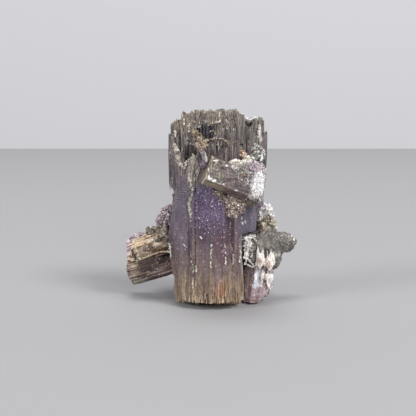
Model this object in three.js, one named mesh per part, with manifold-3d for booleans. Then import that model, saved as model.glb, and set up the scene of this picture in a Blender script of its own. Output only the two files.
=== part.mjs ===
// Aragonite cluster: a tall ribbed column of parallel-grown pseudo-hexagonal crystals, with a
// stubby crystal lying across its front, two more low on its left, one at its right foot, a small
// druse, and the marl matrix that holds them together behind. Millimetres, +Z up, front towards -Y.
import * as THREE from "three";
import { mergeVertices } from "three/addons/utils/BufferGeometryUtils.js";
import Module from "manifold-3d";

const wasm = await Module();
wasm.setup();
const { Manifold, Mesh: SolidMesh } = wasm;

// ---------------------------------------------------------------- driving dimensions

const seatGap = 0.3; // left open where one crystal meets another
const finest = 0.07; // detail smaller than this is dropped after a join
const seatDetail = 0.1; // and from the space that a neighbour leaves free
const columnSeed = 41;
const columnAxis = [0, 1.5];
const steepest = 0.55; // slope of the small individuals' slanted tops
const bodyStep = 9; // between the corners of a body on its way up

// The big parallel individuals of the column: plan corners anticlockwise from the left, foot and top.
const columnBodies = {
  leftFront: {
    plan: [[-8.8, 0.8], [-8.3, -2.4], [-6.6, -4.7], [-4.9, -5.5], [-4.2, -4.6], [-3.6, 1.2]],
    foot: 1.3, top: 33.4,
  },
  middleFront: {
    plan: [[-4.4, -4.4], [-3.3, -6.9], [-0.6, -7.8], [2.7, -7.5], [4.2, -6.0], [4.5, 0.6], [-4.4, 0.6]],
    foot: 1.6, top: 36.6,
  },
  rightFront: {
    plan: [[4.1, -5.1], [5.4, -6.2], [6.8, -4.9], [7.3, -2.2], [7.3, 1.4], [3.6, 1.4]],
    foot: 1.9, top: 37.2,
  },
  middleLayer: {
    plan: [[-6.9, -0.6], [-5.9, -3.6], [-2.6, -5.0], [2.8, -5.1], [6.2, -3.6], [7.2, 0.8]],
    foot: 20, top: 41.2,
  },
  leftRear: {
    plan: [[-8.3, -0.4], [-3.0, -3.1], [0.8, -1.6], [0.8, 8.1], [-3.8, 7.8], [-7.2, 5.0]],
    foot: 0, top: 42.4,
  },
  rightRear: {
    plan: [[0.2, -3.0], [5.8, -3.2], [7.3, -0.8], [7.3, 3.5], [5.2, 7.3], [0.2, 8.2]],
    foot: 0, top: 43.2,
  },
  rightFlank: {
    plan: [[6.4, -1.9], [9.5, -2.0], [10.8, -0.2], [10.5, 4.4], [8.2, 6.6], [5.6, 5.8]],
    foot: 16.8, top: 40.6,
  },
  rightEdge: {
    plan: [[9.1, -1.2], [11.4, -0.9], [12.2, 1.4], [11.8, 4.2], [9.4, 5.2]],
    foot: 22.3, top: 41.6,
  },
  rightBulge: {
    plan: [[10.4, -0.9], [12.3, -0.7], [13.1, 1.1], [12.8, 3.2], [10.4, 4.4]],
    foot: 34.9, top: 39.8,
  },
  leftEdge: {
    plan: [[-9.6, 0.9], [-9.2, -1.6], [-7.2, -3.1], [-6.4, 1.0], [-8.2, 3.4]],
    foot: 26.8, top: 39.4,
  },
};

// The skyline of the column's ragged top: height at each place across its width.
const skyline = [
  [-10.1, 36.4], [-9.2, 39.2], [-8.4, 42.0], [-7.4, 43.4], [-6.3, 44.0], [-1.4, 44.4],
  [0.6, 45.1], [5.3, 45.1], [6.6, 44.3], [7.6, 42.7], [8.8, 41.6], [9.8, 42.2],
  [10.4, 43.8], [11.9, 43.8], [12.6, 41.4], [13.3, 37.6],
];

// Ribs that run along the column: their path in plan, their size, the heights between which they
// start and end, how far each end sinks back into the body that they grew on (foot, top), and the
// number of steps that a rib bends in.
const ribRows = {
  frontLedge: {
    path: [[-3.6, -6.6], [-0.2, -7.3], [3.0, -7.0], [5.4, -5.9], [6.9, -4.4]],
    pitch: 1.15, halfWidth: 0.85, foot: [26.5, 31], top: [37.2, 39.0], sink: [0.7, 0], steps: 1,
  },
  leftLedge: {
    path: [[-8.3, -0.6], [-7.7, -2.6], [-6.2, -4.5], [-4.8, -5.4]],
    pitch: 1.2, halfWidth: 0.85, foot: [25.5, 30.5], top: [32.8, 37.4], sink: [0.6, 0.3], steps: 1,
  },
  middleLedge: {
    path: [[-6.3, -2.9], [-3.2, -4.5], [0.2, -4.9], [3.4, -4.6], [6.3, -3.2]],
    pitch: 1.15, halfWidth: 0.85, foot: [33.5, 36.5], top: [41.2, 42.6], sink: [0.5, 0], steps: 1,
  },
  topEdge: {
    path: [[-8.3, 1.6], [-7.9, -0.8], [-5.3, -2.4], [0.2, -3.0], [5.4, -2.8], [7.4, -1.4]],
    pitch: 1.1, halfWidth: 0.8, foot: [36, 39], top: [43.4, 45.2], sink: [0.4, 0.1], steps: 1,
  },
  footFront: {
    path: [
      [-7.8, -0.8], [-7.3, -3.0], [-5.8, -4.8], [-3.4, -6.6], [-0.4, -7.4],
      [3.0, -7.0], [5.4, -5.8], [6.8, -3.8], [7.0, -0.8],
    ],
    pitch: 1.2, halfWidth: 0.85, foot: [1.3, 2.1], top: [7, 15], sink: [0.05, 0.75], steps: 2,
  },
  leftSide: {
    path: [[-8.4, 2.2], [-8.5, 0.4], [-8.3, -1.2], [-7.5, -2.8]],
    pitch: 1.15, halfWidth: 0.85, foot: [6, 11], top: [24, 29], sink: [0.7, 0.6], steps: 2,
  },
  back: {
    path: [[-7.0, 2.6], [-6.2, 5.0], [-3.8, 7.2], [0.4, 7.9], [4.8, 7.0], [6.6, 4.6]],
    pitch: 2.2, halfWidth: 1.5, foot: [0.5, 3], top: [34, 43.5], sink: [0.2, 0.5], steps: 4,
  },
  rightSide: {
    path: [[7.6, -1.6], [9.4, -1.7], [11.0, -0.5], [11.7, 2.0], [11.1, 4.2], [8.6, 5.9]],
    pitch: 1.25, halfWidth: 0.9, foot: [22.6, 27], top: [40.5, 44.2], sink: [0.4, 0.2], steps: 2,
  },
};

// The small individuals that end in the ragged top, in rows that cover the column's plan.
const raggedTopSize = {
  from: -7.4, to: 11.2, foot: 38, spacing: 2.2, halfWidth: 1.45, drop: 2.2,
  rows: (x) => (x > 7.4 ? [0.4, 2.4, 4.2] : [-1.4, 0.8, 3.0, 5.0].slice(x < -6 ? 1 : 0)),
};

// Wells etched down between the individuals of the column's upper front: place in plan, half width,
// foot and top.
const wellDepth = 1.9;
const wells = [
  { at: [-2.7, -5.1], half: 0.75, foot: 38.3, top: 41.0 },
  { at: [-1.6, -5.4], half: 0.8, foot: 38.0, top: 41.8 },
  { at: [-0.6, -5.3], half: 0.7, foot: 38.5, top: 41.5 },
  { at: [-5.3, -5.4], half: 0.6, foot: 34.8, top: 37.4 },
  { at: [-4.4, -5.9], half: 0.65, foot: 33.4, top: 37.2 },
  { at: [-3.6, -6.3], half: 0.5, foot: 35.2, top: 37.0 },
  { at: [3.8, -5.6], half: 0.45, foot: 38.2, top: 39.4 },
  { at: [-7.1, -3.6], half: 0.5, foot: 36.0, top: 38.2 },
];

// A slim crystal that leans on the column's front, above the cross crystal.
const leaningRod = { root: [-1.0, -6.9, 31.6], tip: [-3.1, -7.8, 37.3], half: [0.75, 0.6], turn: 20 };

// The stubby crystal that lies across the front, and the knob that it grew from.
const crossCrystal = {
  root: [9.6, -4.9, 27.2], tip: [-1.3, -8.4, 31.9], facing: [0, -1, 0.3],
  section: [[2.6, -2.2], [2.5, 2.9], [0.4, 3.6], [-3.2, 1.6], [-2.6, -2.4], [1.2, -3.2]],
};
const knobLumps = [
  { at: [8.4, -5.8, 30.8], radii: [4.2, 3.4, 3.8], crystals: 12 },
  { at: [6.9, -7.4, 31.2], radii: [2.4, 2.0, 2.7], crystals: 7 },
  { at: [9.9, -5.4, 27.6], radii: [2.1, 2.4, 3.2], crystals: 6 },
  { at: [10.9, -2.6, 30.2], radii: [1.7, 2.2, 3.0], crystals: 5 },
  { at: [7.1, -5.0, 34.6], radii: [1.1, 1.0, 0.9], crystals: 0 },
];

// Single crystals: root and tip of the axis, half widths across, turn about the axis.
const upperLeft = { root: [-5.6, 6.8, 15.5], tip: [-20.6, 4.8, 10.4], half: [3.0, 2.6], turn: 11 };
const lowerLeft = { root: [-5.2, 6.2, 9.2], tip: [-19.8, 7.6, 4.6], half: [2.9, 2.4], turn: 8 };
const rightFoot = { root: [11.2, 2.4, 8.7], tip: [9.6, 0.2, -0.4], half: [3.35, 3.2], turn: 27 };

// Where these broke: a point on each break and the direction of the side that stayed.
const upperLeftEnd = { through: [-20.0, 5.0, 11.0], normal: [1, 0, 0.03] };
const lowerLeftCorner = { through: [-19.1, 7.6, 3.1], normal: [0.86, 0, 0.51] };
const rightFootCorner = { through: [12.9, 0, 2.1], normal: [-0.64, 0, 0.77] };

// The druse of small crystals above the left pair grew on these lumps.
const leftDruseLumps = [
  { at: [-10.6, 6.4, 18.7], radii: [2.3, 2.4, 2.7] },
  { at: [-12.6, 7.4, 16.1], radii: [2.8, 2.4, 1.9] },
  { at: [-17.1, 7.6, 13.9], radii: [2.8, 1.9, 1.7] },
];

// Rounded lumps of the marl matrix: centre and radii.
const matrixLumps = [
  { at: [-1.6, 9.0, 7.4], radii: [8.2, 4.6, 7.4] },
  { at: [6.4, 9.2, 9.4], radii: [6.8, 5.0, 6.6] },
  { at: [2.4, 8.8, 15.0], radii: [5.4, 3.4, 4.4] },
  { at: [12.2, 5.6, 13.6], radii: [4.0, 4.4, 6.2] },
  { at: [12.5, 5.0, 19.8], radii: [2.4, 2.2, 2.9] },
  { at: [15.6, 5.8, 13.0], radii: [5.0, 2.6, 2.9] },
  { at: [13.6, 4.8, 9.8], radii: [3.4, 2.8, 3.6] },
  { at: [-8.6, 9.2, 11.6], radii: [4.4, 3.8, 6.2] },
];

const matrixFloor = 0.4; // the matrix ends this high above the surface that the crystals stand on

// The pale crust on the matrix beside the column, the upright blades that stand out of it, and the
// flakes on the right foot crystal.
const crust = [
  { at: [11.4, 1.2, 12.2], radii: [2.9, 2.6, 3.8] },
  { at: [8.6, -0.2, 14.9], radii: [1.5, 1.0, 2.2] },
];
const blades = [
  { foot: [10.9, -1.8, 8.7], height: 5.6, width: 1.9, turn: 6 },
  { foot: [13.3, -1.1, 8.2], height: 5.1, width: 2.2, turn: -22 },
  { foot: [12.2, -0.4, 8.7], height: 4.6, width: 1.8, turn: 66 },
  { foot: [8.3, -1.5, 10.3], height: 5.4, width: 1.3, turn: 35 },
  { foot: [9.5, -0.9, 8.7], height: 3.4, width: 1.2, turn: -50 },
];
const footFlakes = [
  { foot: [11.9, -1.3, 4.6], height: 3.9, width: 1.2, turn: 18 },
  { foot: [13.6, 0.3, 3.0], height: 4.6, width: 1.5, turn: 28 },
  { foot: [12.6, -0.6, 1.6], height: 3.4, width: 1.4, turn: 30 },
  { foot: [14.2, 1.8, 3.4], height: 4.2, width: 1.4, turn: 70 },
];
const bladeThickness = 1.1;

// Stubs that grew out of the back of the matrix.
const rearStubs = [
  { root: [4.0, 9.5, 8.8], tip: [8.8, 16.6, 5.4], half: [2.7, 2.3], turn: 15 },
  { root: [-2.5, 9.0, 12.0], tip: [-6.6, 15.4, 15.0], half: [2.3, 2.0], turn: 40 },
  { root: [-3.0, 9.0, 5.0], tip: [-5.4, 14.6, 3.4], half: [1.9, 1.7], turn: 10 },
  { root: [4.2, 9.0, 14.0], tip: [5.6, 13.6, 18.4], half: [1.8, 1.6], turn: 25 },
];

const columnColour = 0x7a6c78;
const glassyColour = 0x9a8c86;
const stainedColour = 0x84684a;
const druseColour = 0x8c7484;
const matrixColour = 0x75756a;

// ---------------------------------------------------------------- small tools

// Repeatable random numbers from 0 to 1.
function randomFrom(seed) {
  let state = seed >>> 0;
  return () => {
    state = (state + 0x6d2b79f5) >>> 0;
    let t = Math.imul(state ^ (state >>> 15), state | 1);
    t ^= t + Math.imul(t ^ (t >>> 7), t | 61);
    return ((t ^ (t >>> 14)) >>> 0) / 4294967296;
  };
}

const between = (random, low, high) => low + (high - low) * random();

// Height of a polyline of [place, height] pairs at one place.
function heightAt(line, place) {
  for (let i = 1; i < line.length; i++) {
    const [x0, h0] = line[i - 1];
    const [x1, h1] = line[i];
    if (place <= x1) return h0 + (h1 - h0) * THREE.MathUtils.clamp((place - x0) / (x1 - x0), 0, 1);
  }
  return line.at(-1)[1];
}

// A three.js geometry as a solid that can be joined and cut.
function solidOf(geometry) {
  const bare = geometry.index ? geometry.toNonIndexed() : geometry.clone();
  bare.deleteAttribute("normal");
  bare.deleteAttribute("uv");
  const merged = mergeVertices(bare, 1e-4);
  return new Manifold(
    new SolidMesh({
      numProp: 3,
      vertProperties: merged.attributes.position.array,
      triVerts: new Uint32Array(merged.index.array),
    }),
  );
}

// The largest body of a solid: a cut can leave crumbs beside it.
function largestBody(solid) {
  return solid.decompose().reduce((best, body) => (body.volume() > best.volume() ? body : best));
}

function meshOf(name, solid, colour, roughness) {
  const { vertProperties, triVerts } = largestBody(solid.asOriginal().simplify(finest)).getMesh();
  const geometry = new THREE.BufferGeometry();
  geometry.setAttribute("position", new THREE.BufferAttribute(vertProperties, 3));
  geometry.setIndex(new THREE.BufferAttribute(triVerts, 1));
  geometry.computeVertexNormals();
  const material = new THREE.MeshStandardMaterial({ color: colour, roughness, metalness: 0 });
  const mesh = new THREE.Mesh(geometry, material);
  mesh.name = name;
  return mesh;
}

// Anticlockwise plan corners with every side moved outwards by a clearance.
function widened(plan, clearance) {
  const outward = plan.map((from, i) => {
    const to = plan[(i + 1) % plan.length];
    return new THREE.Vector2(to[1] - from[1], from[0] - to[0]).normalize();
  });
  return plan.map(([x, y], i) => {
    const before = outward.at(i - 1);
    const after = outward[i];
    const mitre = clearance / (1 + before.dot(after));
    return [x + (before.x + after.x) * mitre, y + (before.y + after.y) * mitre];
  });
}

// The geometry of an upright prism between two heights, larger all round by a clearance.
function prismGeometry(plan, foot, top, clearance = 0, steps = 1) {
  const shape = new THREE.Shape(widened(plan, clearance).map(([x, y]) => new THREE.Vector2(x, y)));
  const depth = top - foot + 2 * clearance;
  const geometry = new THREE.ExtrudeGeometry(shape, { depth, steps, bevelEnabled: false });
  return geometry.translate(0, 0, foot - clearance);
}

const uprightPrism = (plan, foot, top, clearance) => solidOf(prismGeometry(plan, foot, top, clearance));

// All the space below a height.
function slabBelow(height) {
  const reach = 40;
  return uprightPrism([[-reach, -reach], [reach, -reach], [reach, reach], [-reach, reach]], -reach, height);
}

// Moves each corner of a geometry by a rule that takes and changes a point.
function reshaped(geometry, rule) {
  const position = geometry.attributes.position;
  const point = new THREE.Vector3();
  for (let i = 0; i < position.count; i++) {
    rule(point.fromBufferAttribute(position, i));
    position.setXYZ(i, point.x, point.y, point.z);
  }
  return geometry;
}

// Corners of an irregular six-sided crystal section about the origin.
function hexPlan(halfX, halfY, random, unevenness = 0.14) {
  const turn = between(random, -0.2, 0.2);
  return Array.from({ length: 6 }, (_, i) => {
    const angle = turn + (i * Math.PI) / 3;
    const reach = 1 + between(random, -unevenness, unevenness);
    return [Math.cos(angle) * halfX * reach, Math.sin(angle) * halfY * reach];
  });
}

const shifted = (plan, x, y) => plan.map(([px, py]) => [px + x, py + y]);

// Evenly spaced points along a plan polyline.
function pointsAlong(path, pitch) {
  const curve = new THREE.CurvePath();
  for (let i = 1; i < path.length; i++) {
    curve.add(new THREE.LineCurve(new THREE.Vector2(...path[i - 1]), new THREE.Vector2(...path[i])));
  }
  const count = Math.max(2, Math.round(curve.getLength() / pitch));
  return Array.from({ length: count + 1 }, (_, i) => curve.getPointAt(i / count));
}

// Moves a solid built along +Z so that its axis runs from root to tip.
function laidAlong(solid, root, tip, turnDegrees) {
  const start = new THREE.Vector3(...root);
  const axis = new THREE.Vector3(...tip).sub(start).normalize();
  const upright = new THREE.Quaternion().setFromAxisAngle(
    new THREE.Vector3(0, 0, 1),
    THREE.MathUtils.degToRad(turnDegrees),
  );
  const lean = new THREE.Quaternion().setFromUnitVectors(new THREE.Vector3(0, 0, 1), axis);
  const place = new THREE.Matrix4().compose(start, lean.multiply(upright), new THREE.Vector3(1, 1, 1));
  return solid.transform(place.elements);
}

// The same, but turned so that the solid's +X side looks in a given direction.
function laidFacing(solid, root, tip, facing) {
  const start = new THREE.Vector3(...root);
  const axis = new THREE.Vector3(...tip).sub(start).normalize();
  const front = new THREE.Vector3(...facing).projectOnPlane(axis).normalize();
  const place = new THREE.Matrix4().makeBasis(front, new THREE.Vector3().crossVectors(axis, front), axis);
  return solid.transform(place.setPosition(start).elements);
}

const lengthOf = ({ root, tip }) => new THREE.Vector3(...root).distanceTo(new THREE.Vector3(...tip));

// ---------------------------------------------------------------- the column

// Slants the top of an upright prism: its corners on one side stay, those on the other come down.
function slantedTop(corner, at, top, half, slope) {
  if (corner.z < top - 0.01) return;
  corner.z += (corner.x - at[0]) * slope[0] + (corner.y - at[1]) * slope[1];
  corner.z -= half * Math.hypot(...slope);
}

// The slow wander of the growing column: it leans and swells a little on its way up.
function wander(point) {
  const rise = THREE.MathUtils.smoothstep(point.z, 0, 6);
  point.x += rise * (0.22 * Math.sin(0.29 * point.z + 0.5) + 0.12 * Math.sin(0.71 * point.z + 0.35 * point.y));
  point.y += rise * (0.2 * Math.sin(0.24 * point.z + 2.1) + 0.13 * Math.sin(0.63 * point.z + 0.42 * point.x));
}

// One row of ribs: parallel individuals side by side along a path, each end sunk back towards the axis.
function ribRow({ path, pitch, halfWidth, foot, top, sink, steps }, random, clearance) {
  return pointsAlong(path, pitch).map((point) => {
    const half = halfWidth * between(random, 0.7, 1.2);
    const at = [point.x + between(random, -0.25, 0.25), point.y + between(random, -0.25, 0.25)];
    const plan = shifted(hexPlan(half, half, random, 0.2), ...at);
    const low = between(random, ...foot);
    const ceiling = heightAt(skyline, point.x) - between(random, 0, 0.7);
    const high = Math.min(between(random, ...top), ceiling);
    const geometry = prismGeometry(plan, low, high, clearance, steps);
    const inward = new THREE.Vector2(columnAxis[0] - at[0], columnAxis[1] - at[1]).normalize();
    const lean = between(random, -0.25, 0.25);
    const sinkAt = sink.map((depth) => depth * between(random, 0.6, 1.4));
    const slope = [between(random, -steepest, steepest), between(random, -steepest, steepest)];
    reshaped(geometry, (corner) => {
      slantedTop(corner, at, high + clearance, half, slope);
      const share = (corner.z - low) / (high - low);
      const depth = sinkAt[0] * Math.max(0, 1 - 2.5 * share) + sinkAt[1] * Math.max(0, 2.5 * share - 1.5);
      corner.x += inward.x * depth - inward.y * lean * share;
      corner.y += inward.y * depth + inward.x * lean * share;
      wander(corner);
    });
    return solidOf(geometry);
  });
}

// Small individuals that fill the column's top and end at uneven heights under the skyline.
function raggedTop(random) {
  const { from, to, rows, foot, spacing, halfWidth, drop } = raggedTopSize;
  const made = [];
  for (let x = from; x < to; x += spacing) {
    for (const y of rows(x)) {
      const at = [x + between(random, -0.4, 0.4), y + between(random, -0.4, 0.4)];
      const half = halfWidth * between(random, 0.85, 1.15);
      const plan = shifted(hexPlan(half, half, random), ...at);
      const top = heightAt(skyline, at[0]) - between(random, 0, drop);
      const slope = [between(random, -steepest, steepest), between(random, -steepest, steepest)];
      const geometry = reshaped(prismGeometry(plan, foot, top), (corner) => {
        slantedTop(corner, at, top, half, slope);
        wander(corner);
      });
      made.push(solidOf(geometry));
    }
  }
  return made;
}

// The column's bodies and ribs, larger all round by a clearance where a neighbour is cut back to them.
function columnShaft(random, clearance = 0) {
  const bodies = Object.values(columnBodies);
  return Manifold.union([
    ...bodies.map(({ plan, foot, top }) => {
      const geometry = prismGeometry(plan, foot, top, clearance, Math.ceil((top - foot) / bodyStep));
      return solidOf(reshaped(geometry, wander));
    }),
    ...Object.values(ribRows).flatMap((row) => ribRow(row, random, clearance)),
    stubbyCrystal(leaningRod, { seed: 90, sides: 0, clearance }),
  ]);
}

function columnSolid() {
  const random = randomFrom(columnSeed);
  const whole = Manifold.union([columnShaft(random), ...raggedTop(random)]);
  const etched = wells.map(({ at, half, foot, top }) => {
    const plan = shifted(hexPlan(half, wellDepth, random), ...at);
    const slope = [between(random, -steepest, steepest), between(random, -steepest, steepest)];
    return solidOf(reshaped(prismGeometry(plan, foot, top), (corner) => slantedTop(corner, at, top, half, slope)));
  });
  return whole.subtract(Manifold.union(etched));
}

// ---------------------------------------------------------------- the smaller crystals

// A stubby crystal: one main prism with smaller parallel ones grown on its sides, all of uneven length.
function stubbyCrystal({ root, tip, half, turn }, { seed, sides, clearance = 0 }) {
  const random = randomFrom(seed);
  const length = lengthOf({ root, tip });
  const parts = [uprightPrism(hexPlan(half[0], half[1], random, 0.06), 0, length, clearance)];
  for (let i = 0; i < sides; i++) {
    const angle = ((i + between(random, -0.25, 0.25)) / sides) * Math.PI * 2;
    const size = between(random, 0.3, 0.46);
    const plan = hexPlan(half[0] * size, half[1] * size, random);
    const away = [Math.cos(angle) * half[0] * 0.66, Math.sin(angle) * half[1] * 0.66];
    parts.push(uprightPrism(shifted(plan, ...away), 0, length - between(random, -0.5, 1.6), clearance));
  }
  return laidAlong(Manifold.union(parts), root, tip, turn);
}

// What is left of a crystal on one side of a break.
function broken(solid, { through, normal }, clearance = 0) {
  const reach = new THREE.Vector3(...through).dot(new THREE.Vector3(...normal)) - clearance;
  return solid.trimByPlane(normal, reach);
}

// A lump of rock or crust with broken, faceted sides.
function lump({ at, radii }, { seed, roughness = 0.14, clearance = 0 }) {
  const random = randomFrom(seed);
  const geometry = new THREE.IcosahedronGeometry(1, 2);
  geometry.deleteAttribute("normal");
  geometry.deleteAttribute("uv");
  const reach = new THREE.Vector3(...radii).addScalar(clearance);
  const middle = new THREE.Vector3(...at);
  const ball = reshaped(mergeVertices(geometry, 1e-4), (corner) => {
    corner.multiplyScalar(1 + between(random, -roughness, roughness)).multiply(reach).add(middle);
  });
  return solidOf(ball);
}

// Small crystals standing out of an ellipsoid, pointing away from its middle.
function druseOn({ at, radii }, { seed, count, size, facing, clearance = 0 }) {
  const random = randomFrom(seed);
  const made = [];
  while (made.length < count) {
    const away = new THREE.Vector3(between(random, -1, 1), between(random, -1, 1), between(random, -1, 1));
    if (away.length() > 1 || away.length() < 0.2) continue;
    away.normalize();
    if (away.dot(facing) < -0.1) continue;
    const foot = new THREE.Vector3(...at).add(away.clone().multiply(new THREE.Vector3(...radii)).multiplyScalar(0.72));
    const half = size * between(random, 0.6, 1.15);
    const length = size * between(random, 1.1, 1.9);
    const root = foot.toArray();
    const tip = foot.clone().addScaledVector(away, length).toArray();
    made.push(laidAlong(uprightPrism(hexPlan(half, half, random), 0, length, clearance), root, tip, 0));
  }
  return made;
}

function upperLeftSolid(clearance = 0) {
  return broken(stubbyCrystal(upperLeft, { seed: 31, sides: 6, clearance }), upperLeftEnd, clearance);
}

function lowerLeftSolid(clearance = 0) {
  return broken(stubbyCrystal(lowerLeft, { seed: 32, sides: 7, clearance }), lowerLeftCorner, clearance);
}

function crossSolid(space) {
  const { root, tip, section, facing } = crossCrystal;
  const druseSide = new THREE.Vector3(0.3, -1, 0.2);
  return Manifold.union([
    laidFacing(uprightPrism(section, 0, lengthOf(crossCrystal)), root, tip, facing),
    ...knobLumps.map((one, i) => lump(one, { seed: 7 + i, roughness: 0.12 })),
    ...knobLumps.flatMap((one, i) => druseOn(one, { seed: 12 + i, count: one.crystals, size: 1.0, facing: druseSide })),
  ]).subtract(space);
}

function leftDruseSolid(clearance = 0) {
  const facing = new THREE.Vector3(-0.5, -0.6, 0.6);
  return Manifold.union([
    ...leftDruseLumps.map((one, i) => lump(one, { seed: 3 + i, clearance })),
    ...leftDruseLumps.flatMap((one, i) => druseOn(one, { seed: 21 + i, count: 7, size: 1.15, facing, clearance })),
  ]);
}

// A thin upright leaf with a blunt point.
function bladeSolid({ foot, height, width, turn }, clearance = 0) {
  const outline = [[-0.3, 0], [0.3, 0], [0.5, 0.45], [0.22, 0.94], [-0.1, 1], [-0.42, 0.62]];
  const plan = outline.map(([x, y]) => [x * width, y * height]);
  const geometry = prismGeometry(plan, -bladeThickness / 2, bladeThickness / 2, clearance);
  geometry.rotateX(Math.PI / 2).rotateZ(THREE.MathUtils.degToRad(turn)).translate(...foot);
  return solidOf(geometry);
}

// The crystal at the right foot with its flakes, worn flat where it meets the surface below.
function rightFootSolid(clearance = 0) {
  return Manifold.union([
    broken(stubbyCrystal(rightFoot, { seed: 33, sides: 7, clearance }), rightFootCorner, clearance),
    ...footFlakes.map((one) => bladeSolid(one, clearance)),
  ]).subtract(slabBelow(0));
}

function matrixSolid(neighbours) {
  return Manifold.union([
    ...matrixLumps.map((one, i) => lump(one, { seed: 50 + i, roughness: 0.08 })),
    ...rearStubs.map((one, i) => stubbyCrystal(one, { seed: 70 + i, sides: 5 })),
    ...crust.map((one, i) => lump(one, { seed: 66 + i, roughness: 0.1 })),
    ...blades.map((one) => bladeSolid(one)),
  ]).subtract(slabBelow(matrixFloor)).subtract(neighbours);
}

// ---------------------------------------------------------------- assembly

const column = columnSolid();
const space = columnShaft(randomFrom(columnSeed), seatGap).simplify(seatDetail);
const lowerLeftSpace = lowerLeftSolid(seatGap);
const upperLeftSpace = upperLeftSolid(seatGap);

const lowerLeftCrystal = lowerLeftSolid().subtract(space);
const upperLeftCrystal = upperLeftSolid().subtract(space).subtract(lowerLeftSpace);
const rightFootCrystal = rightFootSolid().subtract(space);
const cross = crossSolid(space);
const leftNeighbours = Manifold.union([space, lowerLeftSpace, upperLeftSpace]);
const leftDruse = leftDruseSolid().subtract(leftNeighbours);
const matrix = matrixSolid(Manifold.union([leftNeighbours, rightFootSolid(seatGap), leftDruseSolid(seatGap)]));

const cluster = new THREE.Group();
cluster.add(
  meshOf("main_crystal", column, columnColour, 0.55),
  meshOf("cross_crystal", cross, glassyColour, 0.3),
  meshOf("upper_left_crystal", upperLeftCrystal, stainedColour, 0.6),
  meshOf("lower_left_crystal", lowerLeftCrystal, stainedColour, 0.65),
  meshOf("right_foot_crystal", rightFootCrystal, druseColour, 0.4),
  meshOf("left_druse", leftDruse, druseColour, 0.6),
  meshOf("matrix", matrix, matrixColour, 0.9),
);

// The origin is the middle of the underside.
const bounds = new THREE.Box3().setFromObject(cluster);
const middle = bounds.getCenter(new THREE.Vector3());
cluster.position.set(-middle.x, -middle.y, -bounds.min.z);

export default cluster;
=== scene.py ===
import math
import random

import bmesh
import bpy
from mathutils import Matrix, Vector
from mathutils.bvhtree import BVHTree


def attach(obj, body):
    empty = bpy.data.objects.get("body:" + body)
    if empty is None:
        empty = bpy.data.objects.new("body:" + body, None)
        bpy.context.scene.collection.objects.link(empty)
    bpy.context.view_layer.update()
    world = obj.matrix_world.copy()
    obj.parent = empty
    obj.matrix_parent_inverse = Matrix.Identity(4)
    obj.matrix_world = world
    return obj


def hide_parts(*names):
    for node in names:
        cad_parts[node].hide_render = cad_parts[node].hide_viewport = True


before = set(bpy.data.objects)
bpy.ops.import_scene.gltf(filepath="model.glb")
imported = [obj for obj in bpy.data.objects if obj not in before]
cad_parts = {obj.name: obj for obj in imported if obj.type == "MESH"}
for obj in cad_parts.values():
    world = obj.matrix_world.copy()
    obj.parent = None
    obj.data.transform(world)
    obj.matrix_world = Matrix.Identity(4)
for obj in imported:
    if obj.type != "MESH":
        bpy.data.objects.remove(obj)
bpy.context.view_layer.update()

mm = 0.001
partShift = Vector((-0.088, -3.42, 0.0))  # mm, from the column's own axes to the part's origin
anySide = 2.0  # a steepness that lets every surface through
aragoniteIor = 1.6


def at(x, y, z):  # a place given in mm from the column's own axes
    return (Vector((x, y, z)) + partShift) * mm


cameraPlan = {
    "place": (-0.69, -196.0, 52.6),  # mm
    "tiltDown": 8.8,  # degrees
    "focal": 74.42,
    "sensor": 36.0,
}


def makeCamera(plan):
    data = bpy.data.cameras.new("camera")
    data.lens = plan["focal"]
    data.sensor_width = plan["sensor"]
    data.clip_start = 0.01
    data.clip_end = 20
    camera = bpy.data.objects.new("camera", data)
    camera.location = at(*plan["place"])
    camera.rotation_euler = (math.radians(90 - plan["tiltDown"]), 0, 0)
    bpy.context.scene.collection.objects.link(camera)
    bpy.context.scene.camera = camera


makeCamera(cameraPlan)
print("camera in place")


# helpers for node trees

def feed(tree, socket, value):
    if isinstance(value, bpy.types.NodeSocket):
        tree.links.new(value, socket)
    else:
        socket.default_value = value


def addNode(tree, kind, feeds=None, **settings):
    made = tree.nodes.new(kind)
    for name, value in settings.items():
        setattr(made, name, value)
    for key, value in (feeds or {}).items():
        feed(tree, made.inputs[key], value)
    return made


def calc(tree, operation, *values):
    return addNode(tree, "ShaderNodeMath", dict(enumerate(values)), operation=operation).outputs[0]


def times(tree, *values):
    result = values[0]
    for value in values[1:]:
        result = calc(tree, "MULTIPLY", result, value)
    return result


def plus(tree, *values):
    result = values[0]
    for value in values[1:]:
        result = calc(tree, "ADD", result, value)
    return result


def vectorCalc(tree, operation, *values):
    made = addNode(tree, "ShaderNodeVectorMath", operation=operation)
    for i, value in enumerate(values):
        feed(tree, made.inputs["Scale"] if operation == "SCALE" and i == 1 else made.inputs[i], value)
    return made.outputs["Value" if operation == "LENGTH" else "Vector"]


def dotOf(tree, first, second):
    feeds = {0: first, 1: second}
    return addNode(tree, "ShaderNodeVectorMath", feeds, operation="DOT_PRODUCT").outputs["Value"]


def spread(tree, value, low, high, toLow=0.0, toHigh=1.0, smooth=False):
    made = addNode(tree, "ShaderNodeMapRange", {0: value, 1: low, 2: high, 3: toLow, 4: toHigh})
    made.interpolation_type = "SMOOTHSTEP" if smooth else "LINEAR"
    return made.outputs[0]


def mixNumber(tree, share, first, second):
    return addNode(tree, "ShaderNodeMix", {0: share, 2: first, 3: second}, data_type="FLOAT").outputs[0]


def mixColour(tree, share, first, second, blend="MIX"):
    feeds = {0: share, 6: first, 7: second}
    return addNode(tree, "ShaderNodeMix", feeds, data_type="RGBA", blend_type=blend).outputs[2]


def grey(tree, value):
    return addNode(tree, "ShaderNodeCombineColor", {0: value, 1: value, 2: value}).outputs[0]


def vectorOf(tree, x, y, z):
    return addNode(tree, "ShaderNodeCombineXYZ", {0: x, 1: y, 2: z}).outputs[0]


def partsOf(tree, vector):
    return addNode(tree, "ShaderNodeSeparateXYZ", {0: vector}).outputs


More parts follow.
